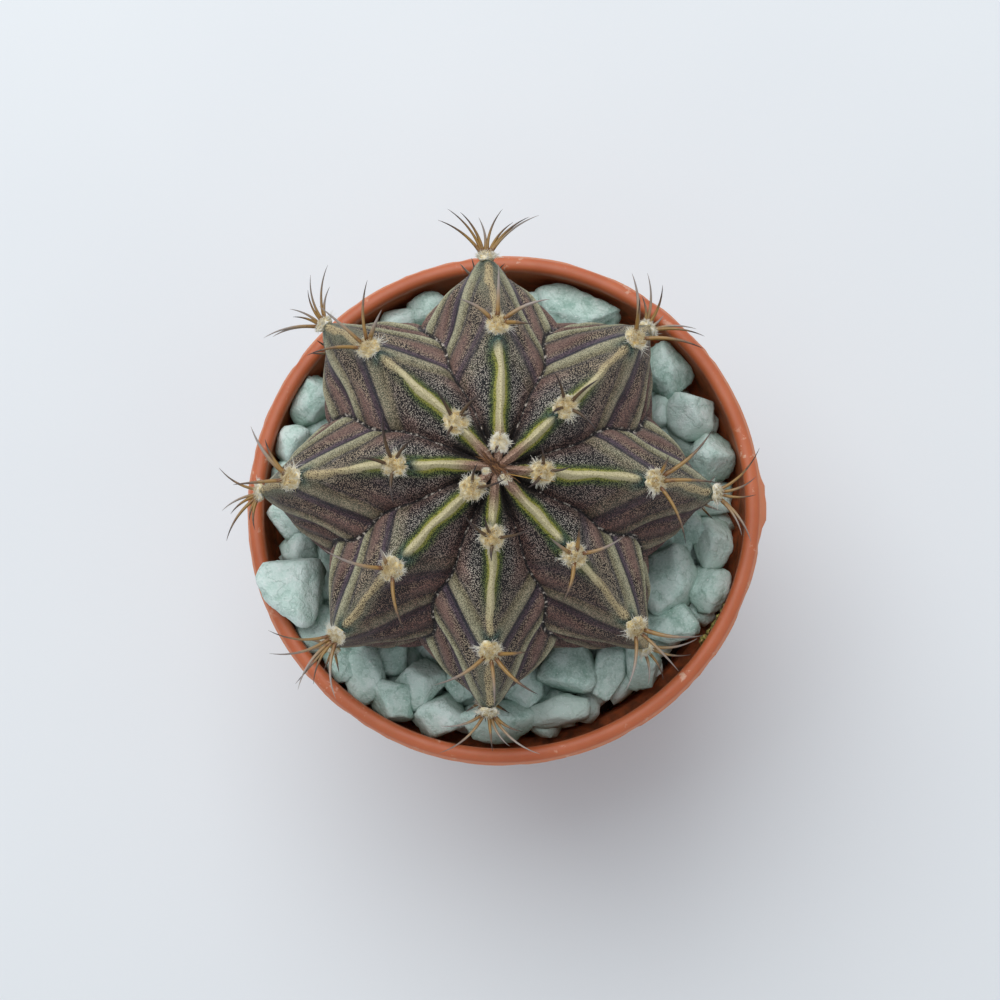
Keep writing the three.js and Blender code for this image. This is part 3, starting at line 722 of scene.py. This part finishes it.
def crownFibres(hair, material):  # dry brown fibres left on the growing point, and one longer thread
    build = crownBuild
    random = seededRandom(71)
    bm = bmesh.new()
    layers = addLayers(bm, "along", "tone")
    turn = Matrix.Rotation(math.radians(build["turn"]), 3, "Z")
    for _ in range(build["fibres"]):
        spread, angle = math.sqrt(random()), 2 * math.pi * random()
        x, y = build["across"] * spread * math.cos(angle), build["along"] * spread * math.sin(angle)
        way = Vector((1 if random() < 0.5 else -1, 1.1 * (random() - 0.5), 0.35 * random()))
        root = turn @ Vector((x, y, 0))
        root.z += crestPoints[0][1] + build["lift"] - 0.2 * spread + 0.15 * random()
        addHair(
            bm, layers, hair, root, turn @ way.normalized(), build["length"] * (0.4 + 0.6 * random()),
            build["thickness"] * (0.7 + 0.6 * random()), 0.8 * (random() - 0.5), random(),
        )
    start = Vector(build["threadFrom"])
    thread = Vector(build["threadTo"]) - start
    addHair(
        bm, layers, hair, start, thread.normalized(), thread.length, build["thickness"], build["threadBend"],
        build["threadTone"],
    )
    newPiece(meshFrom("crownFibres", bm, plantMatrix), [material])


woolLook = {
    "clumpSize": 0.45,
    "stops": [(0, "#8a673a"), (0.22, "#bf9f63"), (0.5, "#d8c590"), (1, "#efecdf")],  # from shadow to white
}


def woolMaterial():
    # Areole wool, short plant hairs matted to felt: it scatters light softly and has no gloss
    add, finish = startMaterial("areole wool felt", {
        "Roughness": 0.95, "Specular IOR Level": 0.2, "Sheen Weight": 0.3, "Sheen Roughness": 0.6,
    })
    along, tone = add("Attribute along", out="Fac"), add("Attribute tone", out="Fac")
    clumps = add("TexNoise", {"size": woolLook["clumpSize"], "Detail": 3})
    paler = add("Math MULTIPLY_ADD", [tone, 0.55, clumps])
    paler = add("Math MULTIPLY_ADD", [along, 0.2, paler])
    ramp = add("ValToRGB", {"Fac": add("MapRange", [paler, 0.4, 1.15]), "stops": woolLook["stops"]})
    return finish({"Base Color": ramp})


crownLook = {"stops": [(0, "#2f1c13"), (0.6, "#946744"), (1, "#c79a4f")]}  # from dark to straw


def crownMaterial():
    # Withered plant hairs, dry and brown: thin keratin-like fibres with a faint silky gloss along them
    add, finish = startMaterial("withered crown fibre", {"Roughness": 0.6, "IOR": 1.5})
    tone = add("Attribute tone", out="Fac")
    ramp = add("ValToRGB", {"Fac": add("MapRange", [tone, 0, 1.4]), "stops": crownLook["stops"]})
    return finish({"Base Color": ramp})


spineLook = {
    "streakSize": 0.4, "grey": "#a0968f", "young": "#2b1e1b",
    # from the foot to the point
    "stops": [(0.02, "#6b4424"), (0.2, "#927038"), (0.4, "#927038"), (0.66, "#67503d"), (0.95, "#2b1d18")],
}


def spineMaterial():
    # Spines, hard horn-like fibre: ochre at the foot, browner along the shaft, dark at the point, half gloss
    add, finish = startMaterial("horny cactus spine", {"IOR": 1.54, "Roughness": 0.42})
    look = spineLook
    along, tone = add("Attribute along", out="Fac"), add("Attribute tone", out="Fac")
    streaks = add("TexNoise", {"size": look["streakSize"], "Detail": 3})
    place = add("Math MULTIPLY_ADD", [streaks, 0.6, -0.3])
    place = add("Math ADD", [place, along])
    ramp = add("ValToRGB", {"Fac": place, "stops": look["stops"]})
    old = add("MapRange", [tone, 0.3, 0.8])
    outer = add("MapRange", [along, 0.15, 0.6, 0, 0.8])
    greyer = add("Math MULTIPLY", [old, outer])
    fresh = add("MapRange", [tone, 0, -0.1])
    darker = add("MapRange", [along, 0, 0.6, 0.62, 0.92])
    younger = add("Math MULTIPLY", [fresh, darker])
    return finish({
        "Base Color": layColours(add, ramp, [(greyer, look["grey"]), (younger, look["young"])]),
    })


# Gravel

gravelBuild = {
    "top": 42.4, "slope": -0.045, "floor": 38.9,
    # stones in view: place across and along, length, width, turn in degrees, height above the rest
    "seen": [
        (-20.8, 12, 6.1, 4.1, 90, 0.3), (-22.9, 7.1, 4.6, 4.2, 60, 0.2), (-23.6, 3.6, 3.8, 3.4, 0, 0),
        (-23.2, -0.6, 4.5, 4, 20, 0.2), (-22.4, -4.4, 4, 3.6, 0, 0), (-22.4, -9, 7.4, 6.8, 40, 2.9),
        (-18.9, -7.6, 3.8, 3.6, 0, 0), (-20.2, -13, 6.5, 4, 20, 0.3), (-17.4, -16.4, 4.4, 4, 0, 0.3),
        (-14.8, -17.3, 6.5, 4.3, 110, 0.6), (-12, -15.6, 4, 3.6, 0, 0), (-11.9, -20.3, 4.8, 4.4, 140, 0.4),
        (-8.8, -18.9, 5, 4.6, 40, 0.3), (-6.6, -22, 5.2, 4.6, 20, 0.3), (-4.6, -18.6, 4, 3.8, 0, 0),
        (-0.5, -22.6, 8, 4, 175, 0.5), (2, -19.1, 5, 4.2, 70, 0.2), (5.9, -21.6, 6.5, 3.8, 15, 0.3),
        (7, -17.2, 6, 5.4, 30, 0.6), (11.1, -16.4, 6.5, 3.9, 85, 0.4), (14.5, -16.4, 6.5, 3.8, 100, 0.4),
        (17.8, -12.6, 5.4, 4.4, 20, 0.4), (18, -7.8, 6.5, 5.4, 80, 0.6), (22, -8.4, 5.4, 3.8, 80, 0.3),
        (18.5, -4.6, 3.2, 3, 0, 0), (22.4, -3.8, 4.9, 3.8, 60, 0.4), (19.8, -2, 4.3, 3.8, 0, 0.1),
        (16.9, -3, 3.8, 3.4, 0, 0), (22.4, 1, 4.9, 3.2, 10, 0), (22.3, 5.7, 5.4, 4.3, 80, 0.3),
        (20.6, 10.6, 4.9, 4.8, 0, 0.4), (17.6, 15, 5.4, 5.2, 30, 0.5), (16.9, 10.6, 4.2, 3.8, 0, 0),
        (7.6, 21.9, 9.4, 4.6, 165, 0.6), (2.7, 22.6, 3.8, 3.4, 0, 0), (-8.3, 22.2, 4, 3.6, 0, 0),
        (-11.8, 20.5, 4.2, 3.8, 30, 0), (-15.2, 18.6, 4.2, 3.8, 0, 0.2), (-21.6, -9.2, 5, 4.8, 0, 0.4),
    ],
    # one stone, by its number in the list, is a wedge: how its flat sides turn from its length in degrees,
    # and their distances from its middle
    "wedge": 5, "wedgeSides": [(192, 0.62), (50, 0.78), (-42, 0.8), (125, 0.9)],
    "sharpness": 60, "bedded": 120, "bedInner": 14, "bedOuter": 23.4, "bedSize": 3.6,
}


def gravelLevel(x):
    return gravelBuild["top"] + gravelBuild["slope"] * x


def randomWay(random):
    height = 2 * random() - 1
    angle = 2 * math.pi * random()
    return around(angle, math.sqrt(1 - height * height), height)


# Broken along flat faces and worn round
def addStone(bm, layers, random, size, turn, place, fineness, sides=()):
    faces = [(around(math.radians(turned), 1, 0.1), distance) for turned, distance in sides]
    for i in range(10):
        height, angle = (i + 0.5) / 5 - 1, 2.39996 * i
        way = around(angle, math.sqrt(1 - height * height), height) + 0.6 * randomWay(random)
        faces.append((way.normalized(), 0.64 + 0.3 * random()))
    seed = Vector((20 * random(), 20 * random(), 20 * random()))
    tone, sharpness = random(), gravelBuild["sharpness"]
    made = bmesh.ops.create_icosphere(bm, subdivisions=fineness, radius=1)["verts"]
    for vert in made:
        way = vert.co.normalized()
        reach = 0.86 ** sharpness
        for normal, distance in faces:
            reach += max(way.dot(normal) / distance, 0) ** sharpness
        radius = min(reach ** (-1 / sharpness), 1.16)
        radius *= 1.05 - 0.09 * abs(noise.noise(way * 3 + seed)) - 0.05 * abs(noise.noise(way * 8 + seed))
        vert.co = way * Vector(size) * radius / 2
        vert[layers["tone"]] = tone
    bmesh.ops.transform(bm, matrix=Matrix.Translation(place) @ turn, verts=made)
    top = max(vert.co.z for vert in made)
    # depth below the stone's top, which the gravel's material turns into painted shade
    for vert in made:
        vert[layers["depth"]] = (top - vert.co.z) / size[2]
    return made


def keepInPot(verts):  # stones lean against the wall and don't cross it
    for vert in verts:
        radius = math.hypot(vert.co.x, vert.co.y)
        room = potInsideAt(vert.co.z) - 0.12
        if radius > room:
            vert.co.x *= room / radius
            vert.co.y *= room / radius


def gravel(material):
    random = seededRandom(29)
    bm = bmesh.new()
    layers = addLayers(bm, "tone", "depth")
    for number, (x, y, length, width, turn, lift) in enumerate(gravelBuild["seen"]):
        thickness = width * 0.95
        spin = (
            Matrix.Rotation(math.radians(turn), 4, "Z") @ Matrix.Rotation(0.5 * (random() - 0.5), 4, "Y")
            @ Matrix.Rotation(0.5 * (random() - 0.5), 4, "X")
        )
        place = Vector((x, y, gravelLevel(x) + thickness * 0.36 + lift))
        size = (length * 1.12, width * 1.12, thickness * 1.05)
        sides = gravelBuild["wedgeSides"] if number == gravelBuild["wedge"] else ()
        keepInPot(addStone(bm, layers, random, size, spin, place, 4 if length > 4.3 else 3, sides))
    for i in range(gravelBuild["bedded"]):
        angle = math.radians(i * 137.5)
        inner, outer = gravelBuild["bedInner"], gravelBuild["bedOuter"]
        radius = inner + (outer - inner) * math.sqrt((i + random()) / gravelBuild["bedded"])
        size = gravelBuild["bedSize"] * (0.75 + 0.5 * random())
        x, y = radius * math.cos(angle), radius * math.sin(angle)
        spin = Matrix.Rotation(6.3 * random(), 4, "Z") @ Matrix.Rotation(3 * random(), 4, "X")
        place = Vector((x, y, gravelLevel(x) - 1.3 + 1.6 * random()))
        keepInPot(addStone(bm, layers, random, (size * 1.25, size, size * 0.85), spin, place, 2))
    mesh = meshFrom("gravelStones", bm, toMetres)
    newPiece(mesh, [material], ["gravel"])
    print("gravel", len(mesh.polygons), "faces")


gravelLook = {
    "grain": 0.25, "cloudSize": 1.8, "crackSize": 2.4,
    "stops": [(0, "#9cbdb0"), (0.42, "#c9e0d7"), (1, "#e4f0eb")],
    "crystal": "#f4f9f6", "greyed": "#bdd0c6", "stoneShade": "#7e9c8b", "crack": "#86a999",
}


def gravelMaterial():
    # Crushed marble dyed pale mint: dry, matt and dusty with a sugary broken grain; painted shade low on each
    # stone
    add, finish = startMaterial("dyed marble gravel", {
        "Roughness": 0.93, "Specular IOR Level": 0.3,
    })
    look = gravelLook
    tone = add("Attribute tone", out="Fac")
    clouds = add("TexNoise", {"size": look["cloudSize"], "Detail": 6, "Roughness": 0.62})
    grain = add("TexNoise", {"size": look["grain"], "Detail": 4, "Roughness": 0.7})
    mixed = add("Math MULTIPLY_ADD", [tone, 0.22, clouds])
    mixed = add("Math MULTIPLY_ADD", [grain, 0.5, mixed])
    ramp = add("ValToRGB", {"Fac": add("MapRange", [mixed, 0.58, 1.12]), "stops": look["stops"]})
    crystals = add("MapRange", [grain, 0.62, 0.7])
    greyed = add("MapRange", [tone, 0.86, 0.93, 0, 0.7])
    # painted shade: darker and greener towards the bottom of each stone
    depth = add("Attribute depth", out="Fac")
    depth = add("Math MULTIPLY_ADD", [clouds, 0.4, depth])
    stoneShade = add("MapRange", [depth, 0.5, 0.95, 0, 0.75])
    veins = add("TexNoise", {"size": look["crackSize"], "Detail": 4, "Roughness": 0.55})
    off = add("Math SUBTRACT", [veins, 0.5])
    off = add("Math ABSOLUTE", [off])
    cracks = add("MapRange", [off, 0.03, 0, 0, 0.35])
    height = add("Math MULTIPLY_ADD", [grain, 0.45, clouds])
    height = add("Math MULTIPLY_ADD", [cracks, -0.35, height])
    return finish({
        "Base Color": layColours(add, ramp, [
            (cracks, look["crack"]), (greyed, look["greyed"]), (crystals, look["crystal"]),
            (stoneShade, look["stoneShade"]),
        ]),
        "Normal": add("Bump", {"Strength": 1.0, "Distance": 0.3 * mm, "Height": height}),
    })


# Soil

soilLook = {
    "grain": 0.9, "fleckSpacing": 1.3, "fleck": "#8b7a63", "stops": [(0.4, "#1b130e"), (0.62, "#3f2e21")],
}


def soilMaterial():
    # Peat potting soil: loose dark fibres and crumbs with a few paler bits, fully matt
    add, finish = startMaterial("peat potting soil", {"Roughness": 1.0, "Specular IOR Level": 0.15})
    look = soilLook
    crumbs = add("TexNoise", {"size": look["grain"], "Detail": 8, "Roughness": 0.7})
    bits = add("TexVoronoi", {"size": look["fleckSpacing"]})
    ramp = add("ValToRGB", {"Fac": crumbs, "stops": look["stops"]})
    fleck = add("MapRange", [bits, 0.16, 0.1])
    return finish({
        "Base Color": layColours(add, ramp, [(fleck, look["fleck"])]),
        "Normal": add("Bump", {"Strength": 0.9, "Distance": 0.5 * mm, "Height": crumbs}),
    })


# Pot

potBuild = {
    "height": 48, "rimRadius": 27.5, "lipWidth": 1.8, "lipHeight": 1.7,
    "collarTop": 26.9, "collarBottom": 26.3, "collarHeight": 8.6, "bodyTop": 25.3, "base": 19.4,
    "wall": 0.9, "floor": 1.2, "holes": 5, "holeRadius": 2, "holeRing": 12.5, "spinSteps": 192,
    "tabWidth": 5.2, "tabReach": 0.45,
}


def potInsideAt(height):  # radius of the pot's inner side
    build = potBuild
    shoulder = build["height"] - build["collarHeight"]
    if height > build["height"] + 0.2:
        return build["rimRadius"] + 8
    if height > build["height"] - build["lipHeight"]:
        return build["rimRadius"] - build["lipWidth"]
    if height > shoulder + 0.5:
        part = (height - shoulder - 0.5) / (build["collarHeight"] - build["lipHeight"] - 0.5)
        return build["collarBottom"] + (build["collarTop"] - build["collarBottom"]) * part - build["wall"]
    part = max(height, 0) / shoulder
    return build["base"] + (build["bodyTop"] - build["base"]) * part - build["wall"]


def potProfile():  # (radius, height) from the middle of the underside, up the outside and down the inside
    build = potBuild
    top, rim, base, body = build["height"], build["rimRadius"], build["base"], build["bodyTop"]
    low, high, wall, floor = build["collarBottom"], build["collarTop"], build["wall"], build["floor"]
    shoulder, lipFoot = top - build["collarHeight"], top - build["lipHeight"]
    outside = [
        (0, 0.35), (base - 3.2, 0.35), (base - 2.9, 0), (base - 0.7, 0), (base - 0.2, 0.2), (base, 0.7),
    ]
    steps = 10
    for i in range(1, steps + 1):
        outside.append((base + (body - base) * i / steps, 0.7 + (shoulder - 1.3) * i / steps))
    outside += [
        (body + 0.25, shoulder - 0.45), (low - 0.25, shoulder - 0.35), (low, shoulder - 0.1),
        (low + 0.05, shoulder + 0.4), (low + 0.3, shoulder + 3.4), (high - 0.02, lipFoot - 0.5),
        (high + 0.05, lipFoot + 0.02), (rim - 0.22, lipFoot + 0.1), (rim - 0.1, lipFoot + 0.25),
        (rim - 0.12, lipFoot + 0.62), (rim, lipFoot + 0.72), (rim, lipFoot + 0.86),
        (rim - 0.16, lipFoot + 0.96), (rim - 0.24, top - 0.45), (rim - 0.42, top - 0.2),
        (rim - 0.7, top - 0.05), (rim - 1.05, top), (rim - 1.4, top - 0.08), (rim - 1.65, top - 0.28),
        (rim - 1.78, top - 0.6),
    ]
    inside = [
        (rim - 1.8, top - 1.0), (high - wall, lipFoot - 0.2), (high - wall - 0.25, lipFoot - 3.3),
        (low - wall, shoulder + 0.6), (body - wall + 0.2, shoulder + 0.25), (body - wall, shoulder),
        (base - wall + 0.1, floor + 0.6), (base - wall - 0.4, floor), (0, floor),
    ]
    return outside + inside


def lipNick(angle):  # how far the flash line on the lip is worn back
    rough, fine = noise.noise(around(angle, 9, 3)), noise.noise(around(angle, 40, 7))
    return max(rough, 0) * 0.22 + max(fine - 0.1, 0) * 0.3


def pot(material):
    build = potBuild
    bm = bmesh.new()
    chain = [bm.verts.new((radius, 0, height)) for radius, height in potProfile()]
    edges = [bm.edges.new(pair) for pair in zip(chain, chain[1:])]
    bmesh.ops.spin(
        bm, geom=chain + edges, cent=(0, 0, 0), axis=(0, 0, 1), angle=2 * math.pi, steps=build["spinSteps"],
        use_merge=True,
    )
    bmesh.ops.remove_doubles(bm, verts=bm.verts, dist=0.001)
    rim, top = build["rimRadius"], build["height"]
    for vert in bm.verts:
        radius = math.hypot(vert.co.x, vert.co.y)
        if radius < 20:
            continue
        angle = math.atan2(vert.co.y, vert.co.x)
        moved = -0.08 * abs(noise.noise(around(angle, 1.5, vert.co.z * 0.05)))
        if radius > rim - 0.05 and vert.co.z > top - build["lipHeight"]:
            moved -= lipNick(angle)
            moved += build["tabReach"] * float(smoothStep(0.6, 0.35, abs(angle * rim) / build["tabWidth"]))
        elif vert.co.z > top - 0.5:
            moved -= 0.04 * abs(noise.noise(around(angle, 14, vert.co.z)))
        vert.co.x *= 1 + moved / radius
        vert.co.y *= 1 + moved / radius
    bmesh.ops.recalc_face_normals(bm, faces=bm.faces)
    piece = newPiece(meshFrom("plasticPot", bm, toMetres), [material], ["pot"])
    drillHoles(piece)
    print("pot", len(piece.data.polygons), "faces")


def drillHoles(piece):
    build = potBuild
    bm = bmesh.new()
    for i in range(build["holes"]):
        angle = math.radians(360 / build["holes"] * (i + 0.5))
        bmesh.ops.create_cone(
            bm, cap_ends=True, segments=32, radius1=build["holeRadius"], radius2=build["holeRadius"],
            depth=6, matrix=Matrix.Translation(around(angle, build["holeRing"])),
        )
    drill = newObject("drill", meshFrom("drill", bm, toMetres))
    cut = piece.modifiers.new("drain holes", "BOOLEAN")
    cut.object = drill
    cut.operation = "DIFFERENCE"
    cut.solver = "EXACT"
    shaped = piece.evaluated_get(bpy.context.evaluated_depsgraph_get())
    drilled = bpy.data.meshes.new_from_object(shaped)
    piece.modifiers.clear()
    piece.data = drilled
    piece.data.name = piece.name
    bpy.data.objects.remove(drill)


crumbBuild = {"count": 20, "fromAngle": -36, "toAngle": -24, "low": 44.9, "high": 47.1, "size": 0.62}


def soilCrumbs(material):  # a few crumbs that dried on the pot's inner side, below the lip
    build = crumbBuild
    random = seededRandom(53)
    bm = bmesh.new()
    for _ in range(build["count"]):
        angle = math.radians(build["fromAngle"] + (build["toAngle"] - build["fromAngle"]) * random())
        height = build["low"] + (build["high"] - build["low"]) * random()
        size = build["size"] * (0.4 + 0.8 * random())
        radius = potInsideAt(height) - 0.3 * size
        seed = randomWay(random) * 9
        made = bmesh.ops.create_icosphere(bm, subdivisions=3, radius=1)["verts"]
        for vert in made:
            lump = 0.75 + 0.5 * noise.noise(vert.co * 1.6 + seed) + 0.25 * noise.noise(vert.co * 5 + seed)
            lump *= size
            vert.co = Vector((vert.co.x * 0.5, vert.co.y, vert.co.z * 1.2)) * lump
        place = Matrix.Rotation(angle, 4, "Z") @ Matrix.Translation((radius, 0, height))
        bmesh.ops.transform(bm, matrix=place, verts=made)
    newPiece(meshFrom("soilCrumbs", bm, toMetres), [material])


crumbLook = {"mottleSize": 0.3, "stops": [(0.36, "#4a3822"), (0.52, "#84823f"), (0.68, "#b59a6a")]}


def crumbMaterial():
    # Dried potting soil with a little green algae: matt, crumbly and mottled
    add, finish = startMaterial("dried soil with algae", {
        "Roughness": 0.95, "Specular IOR Level": 0.2,
    })
    mottle = add("TexNoise", {"size": crumbLook["mottleSize"], "Detail": 4})
    ramp = add("ValToRGB", {"Fac": mottle, "stops": crumbLook["stops"]})
    return finish({"Base Color": ramp})


potLook = {
    "body": "#c06b44", "deep": "#ad5831", "salmon": "#cf8661", "scuff": "#d8b49c", "dust": "#66402b",
    "scale": "#c9a48f", "cloudSize": 9, "rubSize": 1.4, "fineSize": 0.35,
    # where the marks lie, as spans of the radius and height in mm, and of the two noises
    "flashLine": (("radius", 27.12, 27.3), ("height", 46.2, 46.6)),
    "scuffs": (("height", 46.4, 47.6), ("rubs", 0.6, 0.68), ("clouds", 0.46, 0.58)),
    "waterMarks": (("radius", 18, 19), ("height", 38, 20), ("rubs", 0.55, 0.68), ("clouds", 0.45, 0.62)),
    "dustInside": (
        ("radius", 26.25, 26.05), ("height", 45.8, 41.5), ("height", 39, 39.8), ("rubs", 0.36, 0.66),
    ),
}


def potMaterial():
    # Injection-moulded polypropylene in terracotta: half matt, rubbed paler on the lip, dusty inside
    add, finish = startMaterial("moulded polypropylene terracotta", {
        "IOR": 1.49, "Roughness": 0.48, "Subsurface Weight": 0.3, "Subsurface Radius": (1, 0.3, 0.12),
        "Subsurface Scale": 1.2 * mm,
    })
    look = potLook
    coords = add("TexCoord", out="Object")
    height = add("SeparateXYZ", [coords], out=2)
    flat = add("VectorMath MULTIPLY", [coords, (1, 1, 0)])
    clouds, rubs, fine = (
        add("TexNoise", {"size": look[size], "Detail": 5, "Roughness": 0.6})
        for size in ("cloudSize", "rubSize", "fineSize")
    )
    sources = {
        "radius": (add("VectorMath LENGTH", [flat], out="Value"), mm),
        "height": (height, mm), "clouds": (clouds, 1), "rubs": (rubs, 1),
    }
    masks = {}
    for mark in ("flashLine", "scuffs", "waterMarks", "dustInside"):
        mask = None
        for name, low, high in look[mark]:
            source, unit = sources[name]
            part = add("MapRange", [source, low * unit, high * unit])
            mask = part if mask is None else add("Math MULTIPLY", [mask, part])
        masks[mark] = mask
    ramp = add("ValToRGB", {"Fac": clouds, "stops": [(0.3, look["deep"]), (0.7, look["body"])]})
    return finish({
        "Base Color": layColours(add, ramp, [
            (masks["flashLine"], look["salmon"]), (masks["scuffs"], look["scuff"]),
            (masks["waterMarks"], look["scale"]), (masks["dustInside"], look["dust"]),
        ]),
        "Roughness": add("MapRange", [rubs, 0, 1, 0.36, 0.62]),
        "Normal": add("Bump", {"Strength": 0.16, "Distance": 0.08 * mm, "Height": fine}),
    })


# Studio

studio = {
    "target": (-0.21, 0.45, 48), "distance": 200, "way": (0.060, -0.160, 1), "lens": 67.8, "sensor": 36,
    "coat": [(0, "#e4e8ea"), (1, "#dde1e4")], "coatSize": 60, "air": "#eef2f8", "airStrength": 0.6,
    # place and size in mm, power in watts
    "window": (-110, 280, 610), "windowSize": 560, "windowPower": 3.2, "windowColour": "#fdfeff",
}


def addCamera():
    way = Vector(studio["way"]).normalized()
    forward = -way
    right = forward.cross(Vector((0, 1, 0))).normalized()
    up = right.cross(forward)
    data = bpy.data.cameras.new("camera")
    data.lens, data.sensor_width = studio["lens"], studio["sensor"]
    data.clip_start, data.clip_end = 0.01, 50
    eye = (Vector(studio["target"]) + way * studio["distance"]) * mm
    holder = newObject("camera", data)
    holder.matrix_world = Matrix.Translation(eye) @ Matrix((right, up, -forward)).transposed().to_4x4()
    bpy.context.scene.camera = holder


def softLight():
    data = bpy.data.lights.new("window", "AREA")
    data.size, data.energy = studio["windowSize"] * mm, studio["windowPower"]
    data.color = linear(studio["windowColour"])[:3]
    light = newObject("window", data)
    light.location = Vector(studio["window"]) * mm
    light.rotation_mode = "QUATERNION"
    light.rotation_quaternion = (Vector(studio["target"]) * mm - light.location).to_track_quat("-Z", "Y")
    world = bpy.data.worlds.new("air")
    world.use_nodes = True
    background = world.node_tree.nodes["Background"].inputs
    background["Color"].default_value = linear(studio["air"])
    background["Strength"].default_value = studio["airStrength"]
    bpy.context.scene.world = world


def paleFloor():
    # Board painted pale and matt, with a barely uneven coat
    add, finish = startMaterial("pale painted board", {"Roughness": 0.85})
    coat = add("TexNoise", {"size": studio["coatSize"], "Detail": 2})
    ramp = add("ValToRGB", {"Fac": coat, "stops": studio["coat"]})
    material = finish({"Base Color": ramp})
    bm = bmesh.new()
    bmesh.ops.create_grid(bm, x_segments=1, y_segments=1, size=3)
    mesh = meshFrom("paleFloor", bm)
    mesh.materials.append(material)
    newObject("paleFloor", mesh)


addCamera()
softLight()
paleFloor()
bpy.context.scene.view_settings.view_transform = "Standard"
print("studio")

pot(potMaterial())
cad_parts["soil"].data.materials.clear()
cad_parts["soil"].data.materials.append(soilMaterial())
soilCrumbs(crumbMaterial())
gravel(gravelMaterial())
plantSkin(skinMaterial())
hairShape = uprightTemplate("hair", 3, 1, 0.3, False)
spineShape = uprightTemplate("spine", areoleBuild["spineSides"], areoleBuild["spineSteps"], 0.12, True)
areoleMaterials = [woolMaterial(), spineMaterial()]
for number in range(plant["areoleCount"]):
    areolePiece(number, hairShape, spineShape, areoleMaterials)
crownFibres(hairShape, crownMaterial())
print("areoles", plant["areoleCount"])
